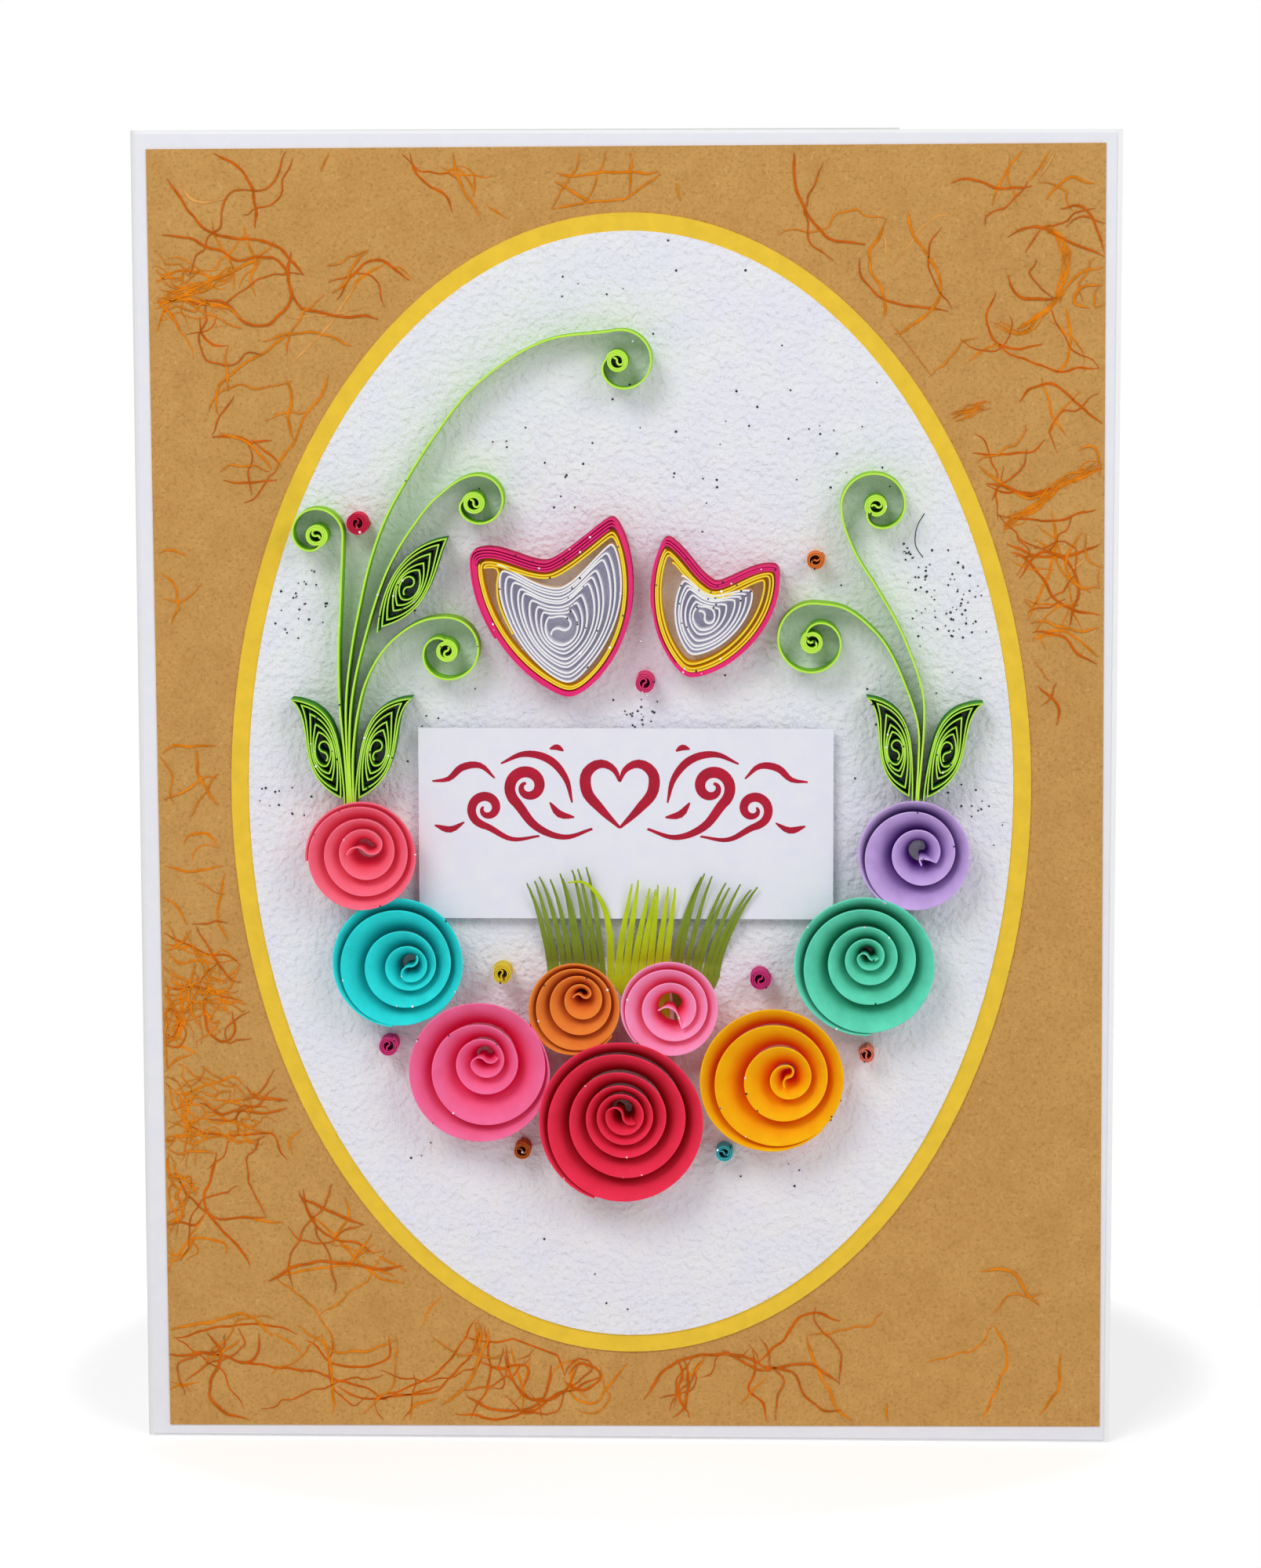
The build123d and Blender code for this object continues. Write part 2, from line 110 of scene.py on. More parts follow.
# Stems: places along the long bend from the foot, then the scroll that it ends in as its loop's centre,
# radius and starting angle, its tight coil's centre, the loop's turns and the way it winds.
stems = {
    "stem_left_outer": (
        [(-41.7, -1.0), (-42.1, 7), (-42.8, 13.7), (-42.9, 20), (-42.4, 32)],
        ((-46.2, 40), 4.0, 0, (-46.1, 39.9), 0.8, -1),
    ),
    "stem_left_tall": (
        [(-41.4, -1.2), (-41.75, 7), (-41.9, 13.7), (-39.8, 28.4), (-36.4, 40.7), (-28.8, 54),
         (-21.4, 63), (-11.6, 68.9)],
        ((-0.5, 65.8), 4.75, 100, (-0.9, 65.9), 0.8, 1),
    ),
    "stem_left_middle": (
        [(-41.1, -1.2), (-41.4, 7), (-41.1, 13.7), (-38.7, 25), (-35.0, 35.5), (-31.8, 40.9),
         (-27.7, 45.8)],
        ((-21.9, 45.1), 3.9, 95, (-22.4, 44.7), 0.8, 1),
    ),
    "stem_left_inner": (
        [(-40.8, -1.0), (-40.8, 7), (-39.9, 13.7), (-38.7, 18), (-34.6, 24.3), (-29.3, 27.3)],
        ((-26.6, 22.8), 4.8, 65, (-26.6, 22.6), 0.9, 1),
    ),
    "stem_right_tall": (
        [(44.1, -0.6), (44.5, 5.7), (44.9, 11.1), (44.8, 15.6), (42.2, 23.9), (37.7, 32.2),
         (34.2, 37.9)],
        ((37.4, 44.3), 5.0, 180, (37.6, 44.4), 0.9, 1),
    ),
    "stem_right_inner": (
        [(43.8, -0.6), (44.1, 5.7), (44.0, 11.1), (42.2, 17.4), (37.4, 25.7), (32.6, 29.2)],
        ((28.3, 24.5), 5.3, 85, (28.1, 24.0), 1.1, -1),
    ),
}
scroll_radius = 1.65
scroll_pitch = 0.3
scroll_turns = 2.5
loop_ease = 3.0

# Leaves: foot, tip, the side they swell on, how far the middle bends to that side and the fullness
leaves = {
    "leaf_left_outer": ((-42.2, -0.7), (-51.0, 15.4), -1, 0.12, 1.2),
    "leaf_left_inner": ((-40.5, -0.6), (-31.0, 15.6), 1, 0.12, 1.2),
    "leaf_left_upper": ((-37.0, 25.3), (-25.9, 39.8), 1, 0.05, 1.35),
    "leaf_right_inner": ((43.2, -0.2), (35.5, 16.0), -1, 0.12, 1.2),
    "leaf_right_outer": ((44.9, -0.2), (54.6, 15.0), 1, 0.12, 1.2),
}
leaf_side_handles = ((0.25, 0.12), (0.55, 0.19))
leaf_side_points = 40
leaf_turns = 5.4
leaf_core = 0.46
leaf_core_reach = (0.085, 0.052)
bend_place = 3 / 4

# Rolled roses: rim centre, core centre, radius of the rim at the start of each turn, turns, angle of the
# outer end and height
roses = {
    "rose_coral": ((-39.3, -8.4), (-39.1, -7.5), (8.0, 7.6, 5.7, 3.6, 2.2), 3.4, 185, 6.6),
    "rose_turquoise": ((-34.0, -24.7), (-32.5, -25.3), (9.6, 9.2, 6.5, 3.65, 2.3), 4.0, 265, 5.6),
    "rose_pink_large": ((-21.7, -41.2), (-21.1, -39.4), (10.6, 9.9, 5.5, 3.1, 1.5), 3.5, 40, 6.6),
    "rose_crimson": ((-0.1, -49.0), (-0.3, -47.8), (12.5, 11.5, 8.4, 5.7, 4.0, 2.7, 1.5), 5.2, 250, 7.2),
    "rose_brown": ((-7.3, -31.7), (-6.4, -29.7), (6.7, 6.3, 4.9, 3.2, 1.1), 3.8, 325, 5.4),
    "rose_pink_small": ((7.1, -31.7), (7.2, -31.6), (7.1, 6.6, 4.5, 3.0), 2.8, 225, 5.4),
    "rose_amber": ((22.6, -42.3), (24.7, -41.9), (10.8, 10.1, 6.8, 3.5, 0.8), 3.6, 315, 6.6),
    "rose_mint": ((36.5, -25.0), (36.7, -23.4), (10.4, 9.8, 6.4, 3.8, 1.9, 0.9), 4.2, 275, 6.0),
    "rose_purple": ((43.8, -8.2), (44.4, -7.6), (8.2, 7.7, 4.3, 2.3), 2.75, 240, 6.0),
}
rose_rows = 10
rim_growth = 0.35
rim_shift = -0.3
rose_flare = 2.3
# A wall leans in towards the core: its foot lies this far inside the rim of the next turn, and the last
# turn's and the hook's at these shares of their distance from the core
foot_overlap = 0.5
core_foot_share = 0.32
hook_foot_share = 0.6
# The outer end lies this many thicknesses from the turn inside it and springs away from it within this share
# of a turn, but for one rose that stands open
end_gap = 1.3
end_ease = 0.3
sprung_rose = "rose_coral"
roses_on_grass = ("rose_brown", "rose_pink_small")
# Two strips end in a fold that stands across the hole instead of a hook: places from the core
rose_tails = {
    "rose_pink_small": [(0.2, -0.1), (-0.9, 0.25), (-2.1, -0.3)],
    "rose_purple": [(0.9, -0.9), (0.0, -0.9), (0.25, -1.9)],
}

# Tight coils: centre, diameter and the angle at which the strip ends
dots = {
    "dot_crimson": ((-39.9, 41.6), 3.5, 0),
    "dot_hot_pink": ((3.0, 17.7), 3.2, 130),
    "dot_orange": ((28.6, 36.2), 2.9, 45),
    "dot_yellow": ((-18.6, -26.7), 3.2, 150),
    "dot_magenta_left": ((-35.9, -37.8), 3.1, 60),
    "dot_brown": ((-15.7, -53.9), 2.8, 100),
    "dot_teal": ((15.0, -54.1), 2.7, 30),
    "dot_coral": ((36.5, -38.8), 2.6, 90),
    "dot_magenta_right": ((20.4, -27.3), 3.3, 10),
}
dot_core_radius = 0.75
dot_pitch = 0.25

# Tulips: four sides, each from one corner to the next over two handles
tulip_large_sides = [
    ((-23.2, 37.3), (-19.6, 39.6), (-15.4, 36.2), (-11.6, 36.1)),
    ((-11.6, 36.1), (-7.8, 37.9), (-5.1, 41.2), (-1.5, 43.2)),
    ((-1.5, 43.2), (4.3, 34.1), (1.5, 19.8), (-8.3, 15.1)),
    ((-8.3, 15.1), (-17.3, 18.5), (-23.3, 27.9), (-23.2, 37.3)),
]
tulip_small_sides = [
    ((6.2, 39.9), (9.5, 38.4), (10.7, 34.6), (13.8, 32.9)),
    ((13.8, 32.9), (16.9, 33.6), (19.9, 36.5), (23.2, 35.5)),
    ((23.2, 35.5), (24.5, 27.5), (17.6, 19.2), (9.4, 18.4)),
    ((9.4, 18.4), (3.3, 23.2), (2.4, 33.6), (6.2, 39.9)),
]
tulip_curve_points = 40
tulip_side_points = 52
pink_start_side = 3.5
corner_softness = 10
uneven_turns = 0.55
uneven_rate = 0.8
# Each band winds through outlines at set depths inside the tulip's four sides. The white coil starts at its
# own outline and winds for its turns down to the round hole at its core.
tulips = {
    "tulip_large": {
        "sides": tulip_large_sides,
        "pink": (
            [(0.1, 0.1, 0.1, 0.1), (0.55, 0.5, 0.3, 0.4), (1.0, 0.95, 0.5, 0.65),
             (1.4, 1.35, 0.7, 0.9), (1.75, 1.75, 0.85, 1.1)], 3.6, 1,
        ),
        "yellow": (
            [(1.9, 1.9, 1.06, 1.32), (2.22, 2.25, 1.33, 1.62), (2.6, 2.75, 1.62, 2.0)], 2.0, -1,
        ),
        "yellow_end": [(-19.0, 34.9), (-19.0, 32.5), (-18.85, 30.3), (-18.0, 27.7), (-16.7, 25.1)],
        "white": [
            ((-19.3, 35.6), (-17.0, 35.4), (-13.5, 32.0), (-9.6, 32.1)),
            ((-9.6, 32.1), (-6.6, 33.2), (-4.4, 37.2), (-1.3, 39.6)),
            ((-1.3, 39.6), (1.0, 34.5), (1.4, 25.5), (-8.0, 17.1)),
            ((-8.0, 17.1), (-13.8, 18.6), (-20.9, 29.0), (-19.3, 35.6)),
        ],
        "core": ((-9.5, 25.85), 1.9, 9.5),
    },
    "tulip_small": {
        "sides": tulip_small_sides,
        "pink": (
            [(0.1, 0.1, 0.1, 0.1), (0.5, 0.45, 0.25, 0.25), (0.9, 0.8, 0.45, 0.4),
             (1.2, 1.05, 0.65, 0.6)], 2.9, 1,
        ),
        "yellow": (
            [(1.4, 1.26, 0.88, 0.82), (1.7, 1.56, 1.2, 1.1), (2.0, 1.95, 1.8, 1.45),
             (2.35, 2.5, 2.7, 2.5)], 3.0, -1,
        ),
        "yellow_end": [],
        "white": [
            ((8.5, 34.1), (10.2, 33.6), (11.0, 31.4), (13.4, 31.0)),
            ((13.4, 31.0), (15.6, 31.1), (17.6, 32.3), (19.8, 31.9)),
            ((19.8, 31.9), (20.0, 27.5), (15.4, 22.2), (9.9, 21.4)),
            ((9.9, 21.4), (6.9, 24.2), (6.4, 30.6), (8.5, 34.1)),
        ],
        "core": ((12.1, 27.7), 1.45, 6.6),
    },
}

# Fringed grass: left and right end of its foot, the middle of its lower end, blades, the tips of its first
# and last blade, and how far the tips curl
grass = {
    "grass_left": ((-11.9, -3.0), -7.3, 9, (-14.3, -12.3), (-4.9, -10.5), -0.5),
    "grass_middle": ((-2.9, 6.6), 5.0, 8, (0.6, -12.7), (7.6, -13.6), -0.25),
    "grass_right": ((6.7, 14.3), 9.0, 8, (10.6, -11.0), (19.3, -14.0), 0.5),
}
fallen_blade = [(-2.3, -26.5), (-2.4, -20.5), (-3.4, -16.0), (-4.9, -13.6), (-6.6, -12.5), (-8.6, -12.65)]
grass_thickness = 0.2
grass_foot_share = 0.35
grass_foot_bottom = -36.4
grass_foot_top = -27.4
grass_rise_start = -25.5
label_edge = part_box("plaque")[0].z / MM - leaf_middle
grass_clearance = 0.4
blade_gap = 0.08
blade_tip_width = 0.22
blade_steps = 30
foot_steps = 6
curl_power = 5
# Ranges that each blade's own measures are drawn from
blade_lift = (0.3, 1.6)
blade_bow = (1.1, 1.6)
tip_aside = (-0.5, 0.5)
tip_along = (-0.9, 0.7)
curl_scatter = (0.9, 1.1)

# Corners of a flat ribbon's section, in halves of its width and in its thickness
ribbon_section = ((-1, -0.5), (-1, 0.2), (-0.6, 0.5), (0.6, 0.5), (1, 0.2), (1, -0.5))

# The label's ornament
label_middle = (-0.8, 0.6)
label_scale = 0.8
stroke_end_share = 0.22
curl_steps = 10
curl_shrink = 0.8
ink_colour = (176, 6, 46)
ink_look = {"spread": 0.12, "relief": 0.01, "gloss": 0.55, "specular": 0.3}
ink_lift = 0.02
ink_thickness = 0.05

# Camera of the photograph
camera_place = (27.7, leaf_y - 760.0, 202.3)
camera_pitch = 7.53
camera_yaw = 2.02
camera_roll = 0.1
view_height = 17.59
camera_turn = Euler((radians(90 - camera_pitch), radians(camera_roll), radians(camera_yaw)), "XYZ")
photo_size = (1608, 2000)
sensor_height = 24.0
clip_range = (0.05, 20.0)

# Fibres in the kraft paper: places along each one as read on the photograph, in its pixels, by colour, and
# bundles with their strands and their spread in millimetres. A finer branch crosses each fibre that has enough
# places.
fibre_lines = {
    "rust": [
        [(480, 1782), (535, 1764), (590, 1713), (609, 1672)],
        [(618, 1680), (624, 1730), (620, 1770), (600, 1808)],
        [(646, 1718), (652, 1755), (683, 1787), (720, 1775), (766, 1757)],
        [(821, 1785), (849, 1748), (885, 1729), (930, 1726)],
        [(868, 1724), (877, 1764), (872, 1795), (860, 1808)],
        [(930, 1727), (968, 1746), (1033, 1741), (1070, 1764)],
        [(581, 1803), (640, 1808), (690, 1795), (715, 1776)],
        [(1236, 613), (1270, 624), (1310, 628), (1372, 615)],
        [(1284, 693), (1320, 708), (1360, 708), (1403, 693)],
        [(1294, 742), (1333, 703), (1372, 730), (1364, 798)],
        [(224, 1494), (245, 1530), (270, 1550), (340, 1552)],
        [(379, 1523), (420, 1545), (470, 1565), (525, 1610)],
        [(224, 1708), (302, 1690), (340, 1690), (379, 1700)],
        [(302, 1737), (379, 1747), (440, 1762), (496, 1785)], [(429, 382), (450, 350), (472, 331), (522, 357)],
        [(322, 562), (350, 585), (370, 610), (379, 624)],
        [(212, 1727), (238, 1728), (269, 1726), (287, 1730), (305, 1737), (321, 1735), (330, 1719),
         (331, 1701)],
        [(264, 1701), (282, 1722), (280, 1737), (268, 1763), (269, 1784), (285, 1800), (316, 1808)],
        [(388, 1711), (404, 1719), (418, 1734), (446, 1744), (477, 1740), (495, 1729), (496, 1703)],
        [(430, 1767), (451, 1779), (477, 1784), (503, 1780), (529, 1776), (560, 1768)],
        [(262, 187), (290, 207), (312, 220), (321, 240), (326, 268), (324, 292)],
        [(213, 228), (224, 243), (245, 273), (270, 297), (300, 303), (345, 310), (370, 330), (388, 352)],
        [(208, 301), (240, 303), (262, 315), (285, 322), (300, 333), (330, 328), (350, 330), (366, 345),
         (370, 370), (385, 392), (410, 398), (440, 405), (460, 403), (490, 408), (503, 410)],
        [(371, 320), (367, 350), (370, 385), (355, 405), (330, 416), (310, 412), (298, 395), (283, 385),
         (262, 382)], [(256, 405), (258, 425), (272, 440), (292, 440)],
        [(520, 190), (525, 210), (545, 235), (570, 255), (578, 272)],
        [(285, 612), (310, 616), (340, 612), (365, 610)], [(270, 558), (300, 558), (322, 563), (348, 562)],
        [(590, 312), (608, 308), (627, 306)], [(500, 402), (520, 394), (533, 393)],
        [(250, 1182), (262, 1205), (285, 1240), (300, 1252), (320, 1250)],
        [(204, 1188), (230, 1200), (262, 1216), (300, 1225), (318, 1245), (335, 1275)],
        [(204, 1255), (220, 1262), (250, 1258), (280, 1270), (303, 1276)],
        [(204, 1300), (212, 1286), (225, 1290), (228, 1310), (215, 1325), (204, 1320)],
        [(260, 1275), (262, 1300), (272, 1320), (290, 1328), (300, 1315), (295, 1290)],
        [(312, 1385), (325, 1398), (350, 1402), (385, 1405)],
        [(255, 1405), (280, 1420), (310, 1415), (340, 1420), (372, 1412)],
        [(235, 1430), (265, 1445), (300, 1450), (350, 1450), (356, 1470), (366, 1480)],
        [(275, 1472), (270, 1500), (260, 1530), (275, 1560), (295, 1580), (310, 1600), (320, 1615)],
        [(204, 1565), (230, 1560), (250, 1562), (262, 1550)],
        [(388, 1515), (390, 1540), (405, 1565), (425, 1580), (450, 1585), (480, 1600)],
        [(445, 1548), (465, 1545), (490, 1560), (512, 1582)],
        [(340, 1635), (370, 1618), (410, 1610), (450, 1612), (490, 1618), (530, 1612)],
        [(590, 1705), (620, 1712), (650, 1710), (680, 1702), (695, 1712), (715, 1735), (720, 1755)],
        [(605, 1675), (612, 1700), (604, 1722), (580, 1750), (552, 1775), (510, 1780), (480, 1785)],
        [(610, 1735), (640, 1745), (672, 1745), (668, 1770)],
        [(725, 1750), (735, 1740), (755, 1742), (765, 1755), (755, 1768), (730, 1770), (720, 1760)],
        [(595, 1778), (620, 1795), (650, 1798), (688, 1788), (700, 1762), (704, 1740)],
        [(915, 1720), (950, 1732), (985, 1745), (1010, 1750), (1022, 1772), (1050, 1797), (1073, 1798)],
        [(960, 1722), (965, 1745), (955, 1770), (975, 1795), (977, 1812)],
        [(968, 1737), (1000, 1705), (1020, 1682), (1040, 1675), (1070, 1685)],
        [(850, 1722), (870, 1745), (865, 1775), (880, 1808)],
        [(1212, 235), (1230, 228), (1250, 232), (1270, 240), (1300, 240), (1318, 237)],
        [(1285, 303), (1300, 293), (1325, 290), (1345, 298), (1365, 310), (1390, 318), (1408, 328)],
        [(1352, 265), (1375, 262), (1390, 275), (1400, 300), (1408, 322)],
        [(1268, 440), (1310, 460), (1350, 472), (1380, 470), (1403, 470)],
        [(1270, 372), (1260, 400), (1261, 420), (1276, 440), (1300, 445), (1330, 438)],
        [(1300, 512), (1315, 495), (1340, 490), (1360, 500), (1380, 520), (1406, 540)],
        [(1095, 330), (1100, 355), (1115, 372), (1140, 385), (1170, 392), (1210, 395)],
        [(1011, 188), (1013, 229), (1030, 272), (1056, 304), (1103, 312)],
        [(1235, 618), (1270, 618), (1300, 628), (1325, 630), (1345, 622)],
        [(1222, 590), (1235, 581), (1262, 580), (1290, 578), (1318, 575), (1333, 560)],
        [(1262, 705), (1290, 705), (1310, 715), (1330, 740), (1345, 765), (1370, 780), (1402, 785)],
        [(1400, 650), (1380, 655), (1345, 665), (1310, 662), (1270, 655), (1242, 642)],
        [(1300, 815), (1330, 805), (1355, 812), (1375, 835), (1396, 846)],
        [(1322, 875), (1340, 890), (1350, 905), (1348, 925)],
        [(1285, 350), (1295, 375), (1320, 382), (1348, 378)],
    ],
    "orange": [
        [(756, 1718), (732, 1738), (730, 1765), (747, 1783)], [(941, 1792), (960, 1775), (978, 1757)],
        [(400, 1552), (440, 1590), (476, 1625), (515, 1638)],
        [(350, 1630), (400, 1618), (437, 1612), (505, 1628)],
        [(379, 1690), (437, 1725), (470, 1722), (505, 1710)], [(336, 436), (370, 425), (400, 424), (450, 441)],
        [(579, 195), (584, 225), (595, 250), (613, 276)], [(1275, 712), (1290, 745), (1313, 767), (1372, 771)],
        [(1309, 828), (1325, 810), (1372, 813), (1400, 840)], [(709, 220), (726, 225), (764, 220), (841, 220)],
        [(704, 267), (751, 259), (794, 255), (841, 220)], [(803, 188), (805, 212), (801, 250)],
        [(708, 233), (751, 255), (807, 266)], [(863, 233), (867, 255)],
        [(206, 1794), (214, 1776), (227, 1768), (254, 1763)], [(347, 1701), (365, 1709), (386, 1727)],
        [(412, 1702), (420, 1737), (424, 1774), (424, 1802)], [(557, 1784), (529, 1793), (522, 1811)],
        [(212, 1697), (262, 1687), (318, 1678), (348, 1704)], [(305, 1709), (288, 1722), (262, 1735)],
        [(200, 395), (225, 378), (255, 365), (290, 350), (318, 336), (332, 330)],
        [(200, 386), (230, 382), (262, 386), (290, 392), (308, 404)],
        [(200, 362), (215, 350), (237, 345), (262, 352), (285, 358), (300, 350)],
        [(270, 280), (275, 300), (288, 328), (300, 352), (298, 372)],
        [(310, 288), (315, 310), (326, 340), (320, 360), (328, 376)],
        [(370, 425), (350, 440), (320, 460), (295, 475), (280, 490), (276, 510), (278, 528)],
        [(291, 442), (289, 478), (292, 500)], [(470, 320), (450, 340), (440, 360), (425, 375)],
        [(490, 335), (460, 355), (441, 385)], [(500, 338), (515, 345), (525, 358)],
        [(560, 225), (580, 215), (598, 230), (605, 250)],
        [(418, 478), (412, 500), (390, 530), (378, 556), (350, 600)],
        [(365, 482), (372, 502), (366, 530), (374, 562)], [(280, 552), (310, 562), (330, 578), (348, 600)],
        [(425, 190), (414, 206), (410, 220)], [(200, 382), (224, 408), (230, 421)],
        [(199, 424), (208, 402), (216, 388), (232, 372)], [(620, 262), (634, 270), (646, 280)],
        [(205, 730), (220, 745), (228, 770), (220, 796)], [(204, 707), (218, 701), (240, 708)],
        [(204, 965), (215, 955), (240, 951), (288, 951)], [(250, 956), (252, 985), (265, 1010), (288, 1034)],
        [(204, 1020), (225, 1014), (250, 1000), (270, 990), (288, 999)],
        [(235, 1078), (245, 1063), (262, 1062), (280, 1080)], [(204, 1101), (240, 1112), (290, 1103)],
        [(290, 1102), (280, 1140), (279, 1170), (292, 1200)], [(204, 1138), (228, 1158), (238, 1180)],
        [(320, 1202), (300, 1240), (290, 1262), (262, 1266), (235, 1250), (205, 1232)],
        [(204, 1215), (225, 1206), (245, 1188)], [(250, 1230), (240, 1260), (245, 1290), (256, 1312)],
        [(326, 1252), (334, 1288), (346, 1312)], [(204, 1342), (228, 1334), (252, 1345)],
        [(204, 1392), (230, 1395), (255, 1388), (280, 1378), (300, 1372), (312, 1386)],
        [(204, 1405), (215, 1430), (240, 1440), (262, 1452)],
        [(391, 1414), (385, 1440), (370, 1456), (372, 1472)],
        [(204, 1396), (210, 1370), (225, 1352), (246, 1346)],
        [(204, 1455), (225, 1470), (250, 1468), (276, 1472)],
        [(204, 1505), (225, 1500), (245, 1510), (251, 1526)],
        [(208, 1590), (225, 1600), (245, 1580), (270, 1582), (290, 1590), (288, 1600)],
        [(204, 1606), (222, 1608), (240, 1594), (250, 1574)], [(310, 1550), (330, 1558), (360, 1560)],
        [(440, 1528), (446, 1550), (430, 1570), (424, 1590)],
        [(482, 1560), (470, 1580), (455, 1600), (445, 1620)],
        [(622, 1678), (623, 1700), (612, 1730), (600, 1760), (562, 1792)],
        [(650, 1718), (660, 1750), (668, 1772), (665, 1798)], [(570, 1650), (550, 1665), (540, 1690)],
        [(480, 1600), (500, 1612), (520, 1622)],
        [(718, 1756), (735, 1785), (760, 1788), (775, 1770), (800, 1740)],
        [(900, 1728), (885, 1750), (872, 1762)],
        [(1030, 1705), (1040, 1740), (1055, 1770), (1065, 1795), (1088, 1812)], [(1130, 1790), (1132, 1812)],
        [(1250, 1622), (1275, 1620), (1300, 1630), (1310, 1650), (1325, 1665)],
        [(1267, 1690), (1283, 1720), (1262, 1790), (1253, 1812)], [(1352, 1728), (1346, 1777), (1325, 1805)],
        [(1340, 192), (1320, 220), (1310, 236)], [(1305, 192), (1285, 215), (1270, 245), (1265, 262)],
        [(1335, 255), (1350, 235), (1367, 225), (1380, 230), (1395, 232)],
        [(1408, 340), (1385, 345), (1365, 360), (1350, 385)],
        [(1405, 362), (1385, 365), (1369, 384), (1390, 392)],
        [(1360, 390), (1365, 430), (1362, 460), (1345, 478)], [(1235, 462), (1255, 445), (1280, 438)],
        [(1330, 480), (1335, 510), (1345, 535), (1360, 555)],
        [(1130, 280), (1120, 305), (1108, 325), (1110, 345), (1125, 370), (1128, 400), (1120, 425),
         (1130, 448)],
        [(1158, 268), (1160, 290), (1175, 315), (1195, 345), (1200, 370), (1190, 395), (1170, 410),
         (1145, 425), (1115, 425), (1100, 397)],
        [(1225, 595), (1242, 594), (1262, 605), (1290, 625), (1312, 636), (1340, 628)],
        [(1375, 575), (1385, 568), (1395, 570), (1402, 590), (1404, 608)],
        [(1340, 650), (1348, 690), (1340, 720), (1325, 760), (1304, 800), (1301, 832)],
        [(1284, 710), (1285, 735), (1300, 760), (1320, 778)],
        [(1320, 690), (1340, 700), (1352, 725), (1372, 745), (1402, 752)],
        [(1380, 680), (1360, 710), (1365, 735), (1392, 757)],
        [(1300, 800), (1320, 792), (1350, 800), (1375, 805), (1402, 800)], [(1305, 830), (1325, 845)],
    ],
    "faint": [
        [(1135, 345), (1160, 310), (1190, 280), (1215, 272)], [(455, 360), (430, 400), (405, 430), (372, 462)],
        [(228, 230), (250, 258), (290, 250)], [(1355, 735), (1372, 722), (1385, 712)], [(430, 187), (450, 205)],
        [(1345, 190), (1322, 235)],
    ],
}
fibre_bundles = [
    ([(204, 1210), (240, 1222), (300, 1240)], 5, 2.0), ([(204, 1290), (250, 1280), (320, 1290)], 6, 2.5),
    ([(210, 1240), (225, 1290), (215, 1340)], 6, 2.0), ([(260, 1230), (270, 1280), (262, 1330)], 4, 2.0),
    ([(205, 1400), (260, 1400), (330, 1420)], 5, 2.5), ([(205, 1450), (250, 1440), (340, 1450)], 5, 2.0),
    ([(205, 1480), (230, 1520), (215, 1580)], 5, 2.0), ([(220, 1380), (240, 1420), (230, 1470)], 5, 2.0),
    ([(202, 330), (230, 350), (270, 340)], 5, 2.0), ([(202, 400), (240, 390), (290, 400)], 4, 1.5),
    ([(1336, 292), (1352, 303), (1360, 330), (1355, 355), (1350, 380), (1330, 400), (1298, 422)], 6, 0.5),
    ([(1262, 687), (1290, 665), (1320, 645), (1350, 620), (1380, 605), (1402, 595)], 9, 0.5),
    ([(1190, 546), (1208, 538), (1228, 525), (1256, 515)], 9, 0.75),
    ([(202, 380), (225, 376), (262, 366), (296, 346)], 4, 0.8),
    ([(606, 1678), (612, 1700), (606, 1730)], 4, 0.5),
    ([(204, 1262), (225, 1300), (208, 1330)], 4, 1.0),
    ([(1270, 412), (1300, 424), (1330, 400)], 4, 0.5),
]
fibre_seed = 7
fibre_waver = 0.4
fibre_waver_length = 2.4
fibre_breadth = (0.3, 0.42)
fibre_thickness = 0.06
fibre_unevenness = (0.8, 1.2)
fibre_taper = 4
fibre_lift = 0.02
fibre_layer = 0.012
fibre_layers = 12
branched_places = 4
branch_scale = 0.8
branch_turn = (0.5, 1.5)
branch_stray = 0.4
branch_breadth = 0.22
strand_breadth = (0.16, 0.28)
kraft_margin = 0.9
yellow_reach = 4.5
fibre_look = {"spread": 0.2, "specular": 0.1}
fibre_colours = {"orange": (224, 128, 16), "rust": (204, 98, 6), "faint": (220, 158, 84)}

# Glitter on the white oval: middle of a cluster, its spread and how many flecks
glitter_clusters = [
    ((2.7, 74.5), 5, 16), ((-10.9, 50.5), 5, 14), ((12.4, 49.6), 4, 12), ((32.3, 54), 6, 14),
    ((-50.2, 29), 2.5, 34), ((45, 34), 4, 10), ((47, 24), 6, 14), ((2.4, 12.2), 1.6, 22),
    ((-54, -1), 3.0, 22), ((54, -1), 3.5, 24), ((-30, 5), 3, 10), ((20, 66), 9, 8), ((-22, 16), 8, 8),
    ((0, -66), 16, 10), ((30, -52), 8, 7), ((-30, -56), 7, 6), ((40, 8), 8, 10), ((12, 5), 14, 8),
    ((42.5, 36.4), 0.8, 12), ((44.2, 32.5), 1.8, 14), ((50.4, 28.1), 2.6, 46), ((47.3, 32.5), 3, 10),
]
oval_margin = 1.0
edge_points_a_fleck = 75
# Flecks on the oval and on the strips' front edges: share of dark ones, lift, range of sizes and tilt
oval_flecks = (0.8, 0.07, (0.2, 0.42), 0.15)
edge_flecks = (0.55, 0.03, (0.22, 0.4), 0.5)
fleck_rise = 0.012
fleck_unevenness = 0.25
glitter_seed = 19
glitter_front = leaf_y - cad_box[0][1] / MM - 0.12
# Colour of the glitter and how metallic it is
glitter_looks = {"dark": ((30, 30, 40), 0.3), "bright": ((235, 238, 245), 0.9)}
glitter_roughness = 0.3
glitter_spread = 0.2
glitter_mottling = 3.0

